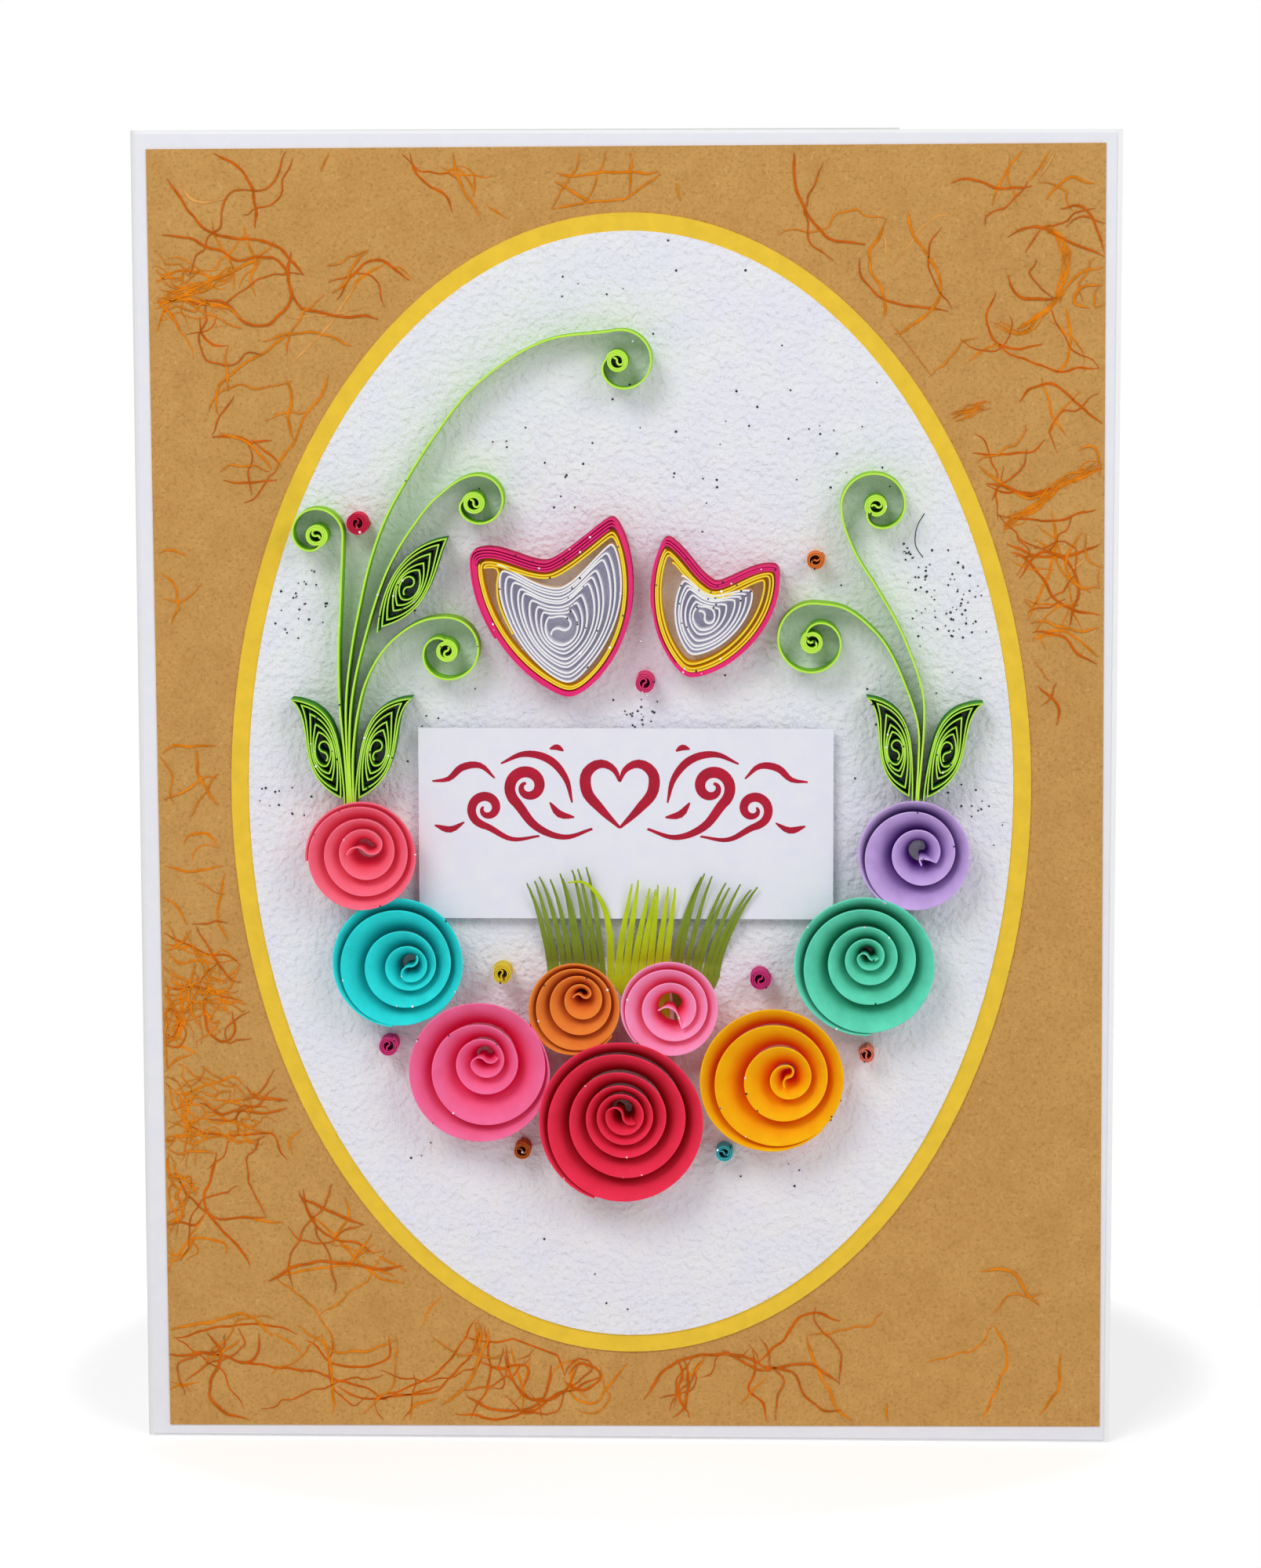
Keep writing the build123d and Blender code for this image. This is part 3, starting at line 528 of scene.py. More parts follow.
# A dark hair beside the glitter, in the photograph's pixels
hair_lift = 0.05
hair_breadth = 0.13
hair_thickness = 0.08
hair_line = [(1179, 655), (1171, 668), (1167, 685), (1168, 697), (1177, 711)]

# Colours of the papers' walls, 0 to 255
node_colours = {
    "stem": (150, 212, 62),
    "leaf": (118, 190, 48),
    "tulip_pink": (226, 30, 108),
    "tulip_yellow": (255, 204, 24),
    "tulip_white": (248, 248, 255),
    "rose_coral": (255, 114, 136),
    "rose_turquoise": (46, 230, 232),
    "rose_pink_large": (252, 114, 162),
    "rose_crimson": (250, 52, 84),
    "rose_brown": (255, 138, 56),
    "rose_pink_small": (255, 156, 200),
    "rose_amber": (255, 188, 10),
    "rose_mint": (104, 228, 194),
    "rose_purple": (208, 176, 238),
    "dot_crimson": (226, 40, 80),
    "dot_hot_pink": (240, 70, 130),
    "dot_orange": (240, 130, 60),
    "dot_yellow": (240, 210, 60),
    "dot_magenta_left": (220, 60, 130),
    "dot_brown": (190, 96, 40),
    "dot_teal": (70, 190, 200),
    "dot_coral": (240, 130, 110),
    "dot_magenta_right": (214, 56, 130),
    "grass_left": (130, 152, 50),
    "grass_middle": (190, 212, 30),
    "grass_right": (130, 152, 50),
}
# Painted shade: the darker colour a strip's walls take from one share of its height down to another, towards
# the foot, where shade falls deep between the strips
foot_shade_from = 0.36
foot_shade_to = 1.0
painted_foot_shades = {
    "leaf": (44, 122, 26),
    "tulip_pink": (178, 8, 62),
    "tulip_yellow": (206, 140, 20),
    "rose_coral": (216, 8, 40),
    "rose_turquoise": (0, 152, 158),
    "rose_pink_large": (230, 4, 60),
    "rose_crimson": (152, 0, 8),
    "rose_brown": (184, 38, 4),
    "rose_pink_small": (226, 16, 62),
    "rose_amber": (230, 92, 0),
    "rose_mint": (0, 142, 102),
    "rose_purple": (94, 34, 142),
}
# Painted highlight: colours of the cut front edges, lighter than the walls where the light catches them
rim_highlight_colours = {
    "stem": (196, 250, 78),
    "leaf": (188, 244, 84),
    "tulip_pink": (238, 44, 122),
    "tulip_yellow": (255, 224, 56),
    "tulip_white": (255, 255, 255),
}
# Plain sheets: the material's name, its colour and its look
sheets = {
    "card": ("card_stock", (250, 250, 252), {"spread": 0.01, "relief": 0.008, "gloss": 0.6}),
    "backing_panel": ("panel_stock", (240, 241, 250), {"spread": 0.015, "relief": 0.01}),
    "yellow_oval": ("yellow_stock", (242, 202, 56), {"spread": 0.05, "relief": 0.05}),
    "plaque": ("label_stock", (238, 239, 253), {"spread": 0.015, "relief": 0.03}),
    "plaque_pads": ("foam", (236, 236, 236), {"spread": 0.04, "relief": 0.1, "gloss": 0.85}),
}
# Noise is given as its cycles per millimetre, detail and roughness, and relief as its strength and depth
# Kraft paper: the clouds' two browns, its dark and its pale flecks, each with the places where it sets in
kraft_colours = ((198, 148, 80), (212, 163, 93), (166, 116, 56), (226, 182, 112))
kraft_clouds = ((0.2, 6.0, 0.7), (0.3, 0.7))
kraft_flecks = ((2.0, 6.0, 0.8), (0.5, 0.66))
kraft_pale = ((1.4, 5.0, 0.75), (0.58, 0.75))
kraft_fleck_share = 0.75
kraft_tooth = (1.8, 5.0, 0.7)
kraft_relief = (0.8, 0.12)
kraft_roughness = 0.8
kraft_specular = 0.2
# White board of the oval
board_colour = (242, 243, 255)
board_spread = 0.02
board_clouds = (0.2, 4.0)
board_tooth = (1.0, 3.0, 0.5)
board_relief = (1.0, 0.6)
board_roughness = 0.75
board_specular = 0.25
# No paper is brighter than this
lightest = 0.95
# Gloss of the strips, and how much the colour of their painted-highlight front edges varies
paint_specular = 0.1
rim_highlight_spread = 0.05
# Painted glow: light given off by a strip's own surface, standing in for light that comes through its thin
# paper from behind and bounces between the strips
painted_glow_through = {
    "tulip_white": (0.05, 0.045, 0.06),
    "tulip_yellow": (0.1, 0.055, 0.0),
    "tulip_pink": (0.05, 0.0, 0.01),
    "rose_coral": (0.09, 0.006, 0.016),
    "rose_turquoise": (0.0, 0.01, 0.01),
    "rose_pink_large": (0.06, 0.0, 0.01),
    "rose_crimson": (0.02, 0.0, 0.0),
    "rose_pink_small": (0.1, 0.006, 0.016),
    "rose_amber": (0.08, 0.0, 0.0),
}
# Mottling and tooth of plain paper, in cycles per millimetre, and how its roughness varies
mottling_scale = 0.35
tooth_scale = 5.0
tooth_strength = 0.6
gloss_range = (-0.1, 0.12)

# Light, in metres and watts: each lamp's place, size and power. The floor round the card shows its own
# brightness and shadow, and turns to plain white between the two ends of shadow_reach from the middle.
world_light = 0.36
lamps = {
    "key": ((-0.6, -1.2, 1.15), 0.7, 9.8),
    "fill": ((0.95, -1.25, 0.95), 0.8, 6.4),
}
lamp_aim = (0.0, 0.0, 0.1)
floor_half = 3.0
floor_grey = 0.9
floor_roughness = 0.9
floor_glow = 0.3
floor_level = 1.84
shadow_reach = (0.086, 0.118)


def place(x, z, height):
    """A place on the decorated leaf as a point in the frame, in metres."""
    return Vector((x, leaf_y - height, leaf_middle + z)) * MM


def between(first, second, share):
    """Point at a share of the way from one point to another."""
    return tuple(a + (b - a) * share for a, b in zip(first, second))


def around(centre, radius, angle):
    """Point on a circle, its angle in degrees from +X towards +Z."""
    return (centre[0] + radius * cos(radians(angle)), centre[1] + radius * sin(radians(angle)))


def curve_points(start, first_handle, last_handle, end, steps):
    """Points along a curve drawn with two handles, its start left out."""
    points = []
    for step in range(1, steps + 1):
        t = step / steps
        shares = ((1 - t) ** 3, 3 * t * (1 - t) ** 2, 3 * t**2 * (1 - t), t**3)
        corners = (start, first_handle, last_handle, end)
        points.append(tuple(sum(s * c[axis] for s, c in zip(shares, corners)) for axis in (0, 1)))
    return points


def smooth_line(points, first_heading, last_heading):
    """Points along a smooth bend through the given ones, with a heading at each end."""
    vectors = [Vector(point) for point in points]
    headings = [Vector(first_heading)]
    for place_, point in enumerate(vectors[1:-1], 1):
        before = vectors[place_ - 1]
        after = vectors[place_ + 1]
        back = (point - before).length
        ahead = (after - point).length
        heading = (point - before) / back * ahead + (after - point) / ahead * back
        headings.append(heading.normalized())
    headings.append(Vector(last_heading))
    line = [tuple(vectors[0])]
    for place_ in range(len(vectors) - 1):
        start = vectors[place_]
        end = vectors[place_ + 1]
        reach = (end - start).length
        first_handle = start + headings[place_] * reach / 3
        last_handle = end - headings[place_ + 1] * reach / 3
        steps = max(fewest_steps, round(reach / fine_step / 2))
        line += curve_points(start, first_handle, last_handle, end, steps)
    return line


def free_line(points):
    """Points along a smooth bend through the given ones that sets out and ends straight."""
    headings = [(Vector(end) - Vector(start)).normalized() for start, end in (points[:2], points[-2:])]
    return smooth_line(points, *headings)


def turned_by(radius):
    """Degrees between two neighbouring points on a bend of a radius."""
    return min(degrees(fine_step / max(radius, smallest_bend)), sharpest_step)


def winding_line(start_angle, winding, turns, radius_at, centre_at, drawn_radius=None):
    """Points of a roll whose radius and centre change with the turns wound so far. A drawn radius gives a
    line with as many points whose centre is the one of the turn inside it."""
    points = []
    swept = 0.0
    while True:
        turn = min(swept / 360, turns)
        angle = start_angle - winding * 360 * turn
        if drawn_radius:
            points.append(around(centre_at(turn + 1), drawn_radius(turn), angle))
        else:
            points.append(around(centre_at(turn), radius_at(turn), angle))
        if turn == turns:
            return points
        swept += turned_by(radius_at(turn))


def hook_line(core, radius, angle, winding, share=hook_share):
    """The strip's inner end, which crosses the hole of its coil in an S of two half rounds."""
    points = []
    first = around(core, radius / 2, angle)
    second = around(core, -radius / 2, angle)
    steps = max(fewest_hook_steps, round(180 / turned_by(radius / 2)))
    for step in range(1, steps + 1):
        points.append(around(first, radius / 2, angle - winding * 180 * step / steps))
    for step in range(1, round(steps * share) + 1):
        points.append(around(second, radius / 2, angle + winding * 180 * step / steps))
    return points


def rose_line(centre, core, radii, turns, start_angle, sprung=False, tail=None):
    """A rose's rim, clockwise inwards from its outer end to the hook or fold in its core, and its foot."""

    def radius_on(turn):
        if turn > turns:
            return last * (1 - (1 - core_foot_share) * (turn - turns))
        whole = min(int(turn), len(radii) - 2)
        return radii[whole] + (radii[whole + 1] - radii[whole]) * (turn - whole)

    def radius_at(turn):
        if sprung or turn >= end_ease:
            return radius_on(turn)
        drop = radius_on(turn) - radius_on(turn + 1) - rose_thickness * end_gap
        return radius_on(turn) - drop * (1 - turn / end_ease) ** 2

    last = radius_on(turns)

    def centre_at(turn):
        return between(core, centre, max(radius_on(turn) - last, 0) / (radii[0] - last))

    def foot_radius(turn):
        ahead = max(1 - max(turn - turns + 1, 0), 0)
        return radius_on(turn + 1) - foot_overlap * ahead

    line = winding_line(start_angle, 1, turns, radius_at, centre_at)
    feet = winding_line(start_angle, 1, turns, radius_at, centre_at, foot_radius)
    if tail:
        end = free_line([line[-1]] + [(core[0] + x, core[1] + z) for x, z in tail])[1:]
    else:
        end = hook_line(core, last, start_angle - 360 * turns, 1)
    for place_, point in enumerate(end, 1):
        lean = min(place_ * fine_step / 2, 1.0)
        share = core_foot_share + (hook_foot_share - core_foot_share) * lean
        feet.append(between(core, point, share))
    return line + end, feet


def tight_line(centre, radius, pitch, turns, start_angle, winding):
    """A tight roll and its hook."""
    line = winding_line(start_angle, winding, turns, lambda turn: radius - pitch * turn, lambda turn: centre)
    angle = start_angle - winding * 360 * turns
    return line + hook_line(centre, radius - pitch * turns, angle, winding, tight_hook_share)


def stem_line(bend, scroll):
    """A stem from its foot to the hook in its scroll."""
    loop, loop_radius, angle, coil, loop_turns, winding = scroll
    heading = around((0, 0), 1, angle - winding * 90)
    line = smooth_line(bend + [around(loop, loop_radius, angle)], (0, 1), heading)

    def radius_at(turn):
        return loop_radius + (scroll_radius - loop_radius) * (turn / loop_turns) ** loop_ease

    def centre_at(turn):
        return between(loop, coil, (turn / loop_turns) ** loop_ease)

    line += winding_line(angle, winding, loop_turns, radius_at, centre_at)[1:]
    coil_angle = angle - winding * 360 * loop_turns
    return line + tight_line(coil, scroll_radius, scroll_pitch, scroll_turns, coil_angle, winding)[1:]


def spiral(outlines, turns, seed=None):
    """A shaped coil that winds from each outline to the next. With two, the second is its last turn."""
    count = len(outlines[0])
    total = round(turns * count)
    line = []
    for step in range(total + 1):
        if len(outlines) == 2:
            share = step / total
            if seed is not None:
                swing = noise.noise(Vector((share * turns * uneven_rate, seed, 0.5)))
                share += uneven_turns / turns * swing * sin(pi * share)
            before, after = outlines
        else:
            whole = min(step // count, len(outlines) - 2)
            share = step / count - whole
            before, after = outlines[whole], outlines[whole + 1]
        line.append(between(before[step % count], after[step % count], share))
    return line


def leaf_line(foot, tip, swell, bend, fullness):
    """A leaf's coil, laid out straight over a length of one and then bent, with its hook."""
    side = [(0, 0)] + curve_points((0, 0), *leaf_side_handles, (1, 0), leaf_side_points)
    outline = side[:-1] + [(along, -across) for along, across in side[:0:-1]]
    hole = []
    for step in range(len(outline)):
        angle = 2 * pi * step / len(outline)
        hole.append((leaf_core - leaf_core_reach[0] * cos(angle), leaf_core_reach[1] * sin(angle)))
    heading = (tip[0] - foot[0], tip[1] - foot[1])
    length = hypot(*heading)

    def bent(along, across):
        bowed = bend * along**3 * (1 - along) / (bend_place**3 * (1 - bend_place))
        aside = swell * (across * fullness + bowed)
        return (
            foot[0] + heading[0] * along - heading[1] * aside,
            foot[1] + heading[1] * along + heading[0] * aside,
        )

    line = [bent(*point) for point in spiral([outline, hole], leaf_turns, length)]
    core = bent(leaf_core, 0.0)
    end = (line[-1][0] - core[0], line[-1][1] - core[1])
    return line + hook_line(core, hypot(*end), degrees(atan2(end[1], end[0])), swell)


def crossing(a, b, c, d):
    """Shares along ab and cd at which they cross, or None."""
    first = (b[0] - a[0], b[1] - a[1])
    second = (d[0] - c[0], d[1] - c[1])
    area = first[0] * second[1] - first[1] * second[0]
    if abs(area) < no_area:
        return None
    apart = (c[0] - a[0], c[1] - a[1])
    along_first = (apart[0] * second[1] - apart[1] * second[0]) / area
    along_second = (apart[0] * first[1] - apart[1] * first[0]) / area
    if 0 <= along_first <= 1 and 0 <= along_second <= 1:
        return along_first, along_second
    return None


def trimmed(first, second):
    """Two neighbouring sides, cut back to where they cross or brought together where they don't."""
    for i in range(len(first) - 2, len(first) // 2, -1):
        for j in range(0, len(second) // 2):
            met = crossing(first[i], first[i + 1], second[j], second[j + 1])
            if met:
                corner = between(first[i], first[i + 1], met[0])
                return first[: i + 1] + [corner], [corner] + second[j + 1:]
    corner = between(first[-1], second[0], 0.5)
    return first + [corner], [corner] + second


def evenly(line, count):
    """A line divided into evenly spaced points, its start left out."""
    lengths = [0.0]
    for before, after in zip(line, line[1:]):
        lengths.append(lengths[-1] + hypot(after[0] - before[0], after[1] - before[1]))
    points = []
    place_ = 0
    for step in range(1, count + 1):
        target = lengths[-1] * step / count
        while place_ < len(line) - 2 and lengths[place_ + 1] < target:
            place_ += 1
        span = lengths[place_ + 1] - lengths[place_]
        share = (target - lengths[place_]) / span if span else 0.0
        points.append(between(line[place_], line[place_ + 1], share))
    return points


def tulip_outline(sides, depths=(0.0, 0.0, 0.0, 0.0)):
    """Points once around a tulip, each side moved inwards by its depth, the corners rounded a little."""
    moved = []
    for side, depth in zip(sides, depths):
        points = [side[0]] + curve_points(*side, tulip_curve_points)
        shifted = []
        for place_, point in enumerate(points):
            before = Vector(points[max(place_ - 1, 0)])
            after = Vector(points[min(place_ + 1, len(points) - 1)])
            ahead = (after - before).normalized()
            shifted.append((point[0] + ahead.y * depth, point[1] - ahead.x * depth))
        moved.append(shifted)
    for place_ in range(len(moved)):
        after = (place_ + 1) % len(moved)
        moved[place_], moved[after] = trimmed(moved[place_], moved[after])
    outline = []
    for side in moved:
        outline += evenly(side, tulip_side_points)
    for _ in range(corner_softness):
        outline = [
            between(between(outline[place_ - 1], outline[(place_ + 1) % len(outline)], 0.5), point, 0.5)
            for place_, point in enumerate(outline)
        ]
    return outline


def rounded_core(outline, core, radius):
    """The circle that an outline shrinks to, with one point for each of the outline's."""
    points = []
    for point in outline:
        reach = hypot(point[0] - core[0], point[1] - core[1])
        points.append(between(core, point, radius / reach))
    return points


def side_steps(line):
    """Steps to the left of a line at each of its points, one unit off both stretches that meet there."""
    vectors = [Vector(point) for point in line]
    headings = []
    for before, after in zip(vectors, vectors[1:]):
        ahead = after - before
        headings.append(ahead.normalized() if ahead.length > no_length else headings[-1])
    steps = []
    for place_ in range(len(vectors)):
        incoming = headings[max(place_ - 1, 0)]
        outgoing = headings[min(place_, len(headings) - 1)]
        direction = (incoming + outgoing).normalized()
        reach = min(1 / max(direction.dot(incoming), least_cosine), strip_mitre)
        steps.append((-direction.y * reach, direction.x * reach))
    return steps


def wobbled(x, z, seed):
    """A place moved a little, the same way as its neighbours, as in work done by hand."""
    at = Vector((x / wobble_length, z / wobble_length, seed * path_seed_step))
    return (
        x + path_wobble * noise.noise(at),
        z + path_wobble * noise.noise(at + path_other_row),
    )


def linked(name, data):
    """A new object in the scene."""
    thing = bpy.data.objects.new(name, data)
    bpy.context.scene.collection.objects.link(thing)
    return thing


def finished(name, node, vertices, faces, material, rim=None, rim_faces=()):
    """One piece of the card as a mesh that rides on it and stands for a node, its rim in a second material that
    paints a highlight on it.
    """
    mesh = bpy.data.meshes.new(name)
    mesh.from_pydata(vertices, [], faces)
    mesh.shade_smooth()
    mesh.set_sharp_from_angle(angle=radians(sharp_angle))
    piece = linked(name, mesh)
    mesh.materials.append(material)
    if rim:
        mesh.materials.append(rim)
        for face in rim_faces:
            mesh.polygons[face].material_index = 1
    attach(piece, "root")
    if node:
        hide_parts(node)
    return piece


def tube_faces(count, ring, reverse=False):
    """Faces between count rings of corners and over both ends, the other way round if asked."""
    faces = []
    for place_ in range(count - 1):
        for corner in range(ring):
            after = (corner + 1) % ring
            near, far = place_ * ring, (place_ + 1) * ring
            face = (near + corner, near + after, far + after, far + corner)
            faces.append(face[:1] + face[:0:-1] if reverse else face)
    for end, flipped in ((0, not reverse), (count - 1, reverse)):
        cap = tuple(range(end * ring, (end + 1) * ring))
        faces.append(cap[::-1] if flipped else cap)
    return faces


def strip_mesh(line, thickness, foot, width, seed, rows=strip_rows, feet=None, flare=1.0):
    """A strip on edge, its front edge a little uneven and rounded: corners, faces, the faces of its front edge
    and the middle of that edge at each point of the line."""
    steps = side_steps(line)
    count = len(line)
    levels = [row / rows for row in range(rows)]
    section = [(-1.0, level) for level in levels]
    section += [(-1.0, 1.0), (-rim_share, 2.0), (rim_share, 2.0), (1.0, 1.0)]
    section += [(1.0, level) for level in reversed(levels)]
    vertices = []
    edge = []
    run = 0.0
    for place_, (point, step) in enumerate(zip(line, steps)):
        if place_:
            run += hypot(point[0] - line[place_ - 1][0], point[1] - line[place_ - 1][1])
        uneven = 0.5 + 0.5 * noise.noise(Vector((run / rim_wobble_length, seed * rim_seed_step, 0.0)))
        top = width - rim_wobble * uneven - edge_round
        for side, level in section:
            height = top * min(level, 1.0) + (edge_round if level > 1 else 0.0)
            x, z = point
            if feet:
                x, z = between(feet[place_], point, min(level, 1.0) ** flare)
            x, z = wobbled(x + step[0] * side * thickness / 2, z + step[1] * side * thickness / 2, seed)
            vertices.append(place(x, z, foot + height))
        x, z = wobbled(*point, seed)
        edge.append((x, z, foot + top + edge_round))
    ring = len(section)
    rim_faces = [place_ * ring + corner for place_ in range(count - 1) for corner in range(rows, rows + 3)]
    return vertices, tube_faces(count, ring), rim_faces, edge


def linear(red, green, blue):
    """A colour given as 0 to 255, in the form that shaders take."""
    values = []
    for value in (red, green, blue):
        share = value / 255
        values.append(share / 12.92 if share <= 0.04045 else ((share + 0.055) / 1.055) ** 2.4)
    return (*values, 1.0)


def shades(colour, spread):
    """A darker and a lighter form of a colour."""
    darker = tuple(value * (1 - spread) for value in colour[:3])
    lighter = tuple(min(value * (1 + spread), lightest) for value in colour[:3])
    return (*darker, 1.0), (*lighter, 1.0)


def ranged(tree, source, span, result, kind="LINEAR"):
    """A source's values between the ends of a span, turned into values between two results."""
    node = tree.nodes.new("ShaderNodeMapRange")
    node.interpolation_type = kind
    names = ("From Min", "From Max", "To Min", "To Max")
    for name, value in zip(names, (*span, *result)):
        node.inputs[name].default_value = value
    tree.links.new(source, node.inputs["Value"])
    return node.outputs["Result"]


class Finish:
    """A material with one principled shader and named helpers for the nodes that feed it."""

    def __init__(self, name):
        self.material = bpy.data.materials.new(name)
        self.material.use_nodes = True
        self.tree = self.material.node_tree
        self.tree.nodes.clear()
        self.shader = self.node("ShaderNodeBsdfPrincipled")
        output = self.node("ShaderNodeOutputMaterial")
        self.join(self.shader.outputs[0], output.inputs["Surface"])
        coordinates = self.node("ShaderNodeTexCoord")
        self.where = self.node("ShaderNodeMapping")
        self.where.inputs["Scale"].default_value = (1 / MM, 1 / MM, 1 / MM)
        self.join(coordinates.outputs["Object"], self.where.inputs["Vector"])

    def node(self, kind):
        return self.tree.nodes.new(kind)

    def join(self, output, socket):
        self.tree.links.new(output, socket)

    def grain(self, scale, detail=3.0, roughness=0.55):
        """Noise, its scale in cycles per millimetre."""
        texture = self.node("ShaderNodeTexNoise")
        texture.inputs["Scale"].default_value = scale
        texture.inputs["Detail"].default_value = detail
        texture.inputs["Roughness"].default_value = roughness
        self.join(self.where.outputs[0], texture.inputs["Vector"])
        return texture.outputs["Fac"]

    def ramp(self, source, low, high, low_place=0.35, high_place=0.65):
        """A source turned into a colour between two."""
        ramp = self.node("ShaderNodeValToRGB")
        ramp.color_ramp.elements[0].position = low_place
        ramp.color_ramp.elements[0].color = low
        ramp.color_ramp.elements[1].position = high_place
        ramp.color_ramp.elements[1].color = high
        self.join(source, ramp.inputs["Fac"])
        return ramp.outputs["Color"]

    def mixed(self, factor, first, second):
        """Two colours mixed by a factor."""
        mix = self.node("ShaderNodeMix")
        mix.data_type = "RGBA"
        self.join(factor, mix.inputs["Factor"])
        for socket, value in ((mix.inputs["A"], first), (mix.inputs["B"], second)):
            if isinstance(value, tuple):
                socket.default_value = value
            else:
                self.join(value, socket)
        return mix.outputs["Result"]

    def rise(self, top):
        """Mask for the painted shade: zero at the foot of a strip, one near its front edge."""
        parts = self.node("ShaderNodeSeparateXYZ")
        self.join(self.where.outputs[0], parts.inputs[0])
        span = [leaf_y - white_face - top * share for share in (foot_shade_from, foot_shade_to)]
        return ranged(self.tree, parts.outputs["Y"], span, (0.0, 1.0), "SMOOTHSTEP")

    def bumps(self, height, strength, distance):
        """Relief from a height, its depth in millimetres."""
        bump = self.node("ShaderNodeBump")
        bump.inputs["Strength"].default_value = strength
        bump.inputs["Distance"].default_value = distance * MM
        self.join(height, bump.inputs["Height"])
        self.join(bump.outputs["Normal"], self.shader.inputs["Normal"])

    def set(self, **values):
        """Constants for the principled shader's sockets, named with underscores."""
        for name, value in values.items():
            self.shader.inputs[name.replace("_", " ")].default_value = value


def paper(name, colour, spread=0.08, relief=0.02, gloss=0.7, specular=0.25, foot_shade=None, top=5.0, through=None):
    """Coloured paper: soft mottling in its colour, a fine tooth in its surface and its roughness. A strip whose
    front edge stands at a height may have painted shade, a deeper colour towards its foot, and a painted glow
    that stands for light coming through it."""
    finish = Finish(name)
    low, high = shades(colour, spread)
    shade = finish.ramp(finish.grain(mottling_scale, 4.0), low, high)
    # Painted shade: the colour deepens towards the strip's foot
    if foot_shade:
        shade = finish.mixed(finish.rise(top), foot_shade, shade)
    finish.join(shade, finish.shader.inputs["Base Color"])
    tooth = finish.grain(tooth_scale)
    rough = ranged(finish.tree, tooth, (0.0, 1.0), [gloss + change for change in gloss_range])
    finish.join(rough, finish.shader.inputs["Roughness"])
    finish.set(Specular_IOR_Level=specular)
    # Painted glow: emission standing in for light that comes through the paper
    if through:
        finish.set(Emission_Color=(*through, 1.0), Emission_Strength=1.0)
    finish.bumps(tooth, tooth_strength, relief)
    return finish.material


paints = {}
# Each strip's paper, with painted shade towards its foot where a colour for that is listed, and a painted glow
# where one is listed
for name, colour in node_colours.items():
    foot_shade = linear(*painted_foot_shades[name]) if name in painted_foot_shades else None
    top = roses[name][5] if name in roses else strip_width
    paints[name] = paper(
        f"paint_{name}", linear(*colour), specular=paint_specular, foot_shade=foot_shade, top=top,
        through=painted_glow_through.get(name),
    )
# Materials that paint a highlight on the strips' front edges
rim_highlights = {name: paper(f"rim_{name}", linear(*colour), rim_highlight_spread) for name, colour in rim_highlight_colours.items()}
edges = {}


def add_strip(node, slot_name, line, thickness, width, seed, foot=white_face, **shape):
    """One quilled strip as a piece, its front edge kept for the glitter."""
    vertices, faces, rim_faces, edges[node] = strip_mesh(line, thickness, foot, width, seed, **shape)
    finished(
        f"{node}_paper", node, vertices, faces, paints[slot_name], rim_highlights.get(slot_name), rim_faces
    )


def add_stems():
    """Strips that run up from the sprays' feet and end in scrolls."""
    for seed, (node, (bend, scroll)) in enumerate(stems.items(), first_seeds["stem"]):
        add_strip(node, "stem", stem_line(bend, scroll), stem_thickness, strip_width, seed)


def add_leaves():
    """Coiled strips pinched at both ends."""
    for seed, (node, shape) in enumerate(leaves.items(), first_seeds["leaf"]):
        add_strip(node, "leaf", leaf_line(*shape), leaf_thickness, strip_width, seed)


def add_tulips():
    """Two bands wound into a tulip's outline, with a loose coil inside them."""
    for seed, (name, tulip) in enumerate(tulips.items(), first_seeds["tulip"]):
        for colour in ("pink", "yellow"):
            depths, turns, way = tulip[colour]
            outlines = [tulip_outline(tulip["sides"], depth)[::way] for depth in depths]
            if colour == "pink":
                start = round(tulip_side_points * pink_start_side)
                outlines = [outline[start:] + outline[:start] for outline in outlines]
            line = spiral(outlines, turns)
            if colour == "yellow" and tulip["yellow_end"]:
                line += free_line([line[-1]] + tulip["yellow_end"])[1:]
            add_strip(f"{name}_band_{colour}", f"tulip_{colour}", line, band_thickness, strip_width, seed)
        core, radius, turns = tulip["core"]
        petal = tulip_outline(tulip["white"])
        line = spiral([petal, rounded_core(petal, core, radius)], turns, seed)
        end = line[-1]
        line += hook_line(core, radius, degrees(atan2(end[1] - core[1], end[0] - core[0])), 1)
        add_strip(f"{name}_coil_white", "tulip_white", line, coil_thickness, strip_width, seed)


def add_roses():
    """Strips rolled up and let open, wider at the rim than at the foot."""
    for seed, (node, shape) in enumerate(roses.items(), first_seeds["rose"]):
        centre, core, radii, turns, angle, height = shape
        foot = white_face + (grass_thickness if node in roses_on_grass else 0.0)
        centre = (centre[0] + rim_shift, centre[1])
        radii = tuple(radius + rim_growth for radius in radii[:2]) + radii[2:]
        line, feet = rose_line(centre, core, radii, turns, angle, node == sprung_rose, rose_tails.get(node))
        add_strip(
            node, node, line, rose_thickness, height, seed, foot, rows=rose_rows, feet=feet, flare=rose_flare
        )


def add_dots():
    """Tight coils."""
    for seed, (node, (centre, diameter, angle)) in enumerate(dots.items(), first_seeds["dot"]):
        radius = (diameter - dot_thickness) / 2
        turns = (radius - dot_core_radius) / dot_pitch
        line = tight_line(centre, radius, dot_pitch, turns, angle, 1)
        add_strip(node, node, line, dot_thickness, dot_width, seed)


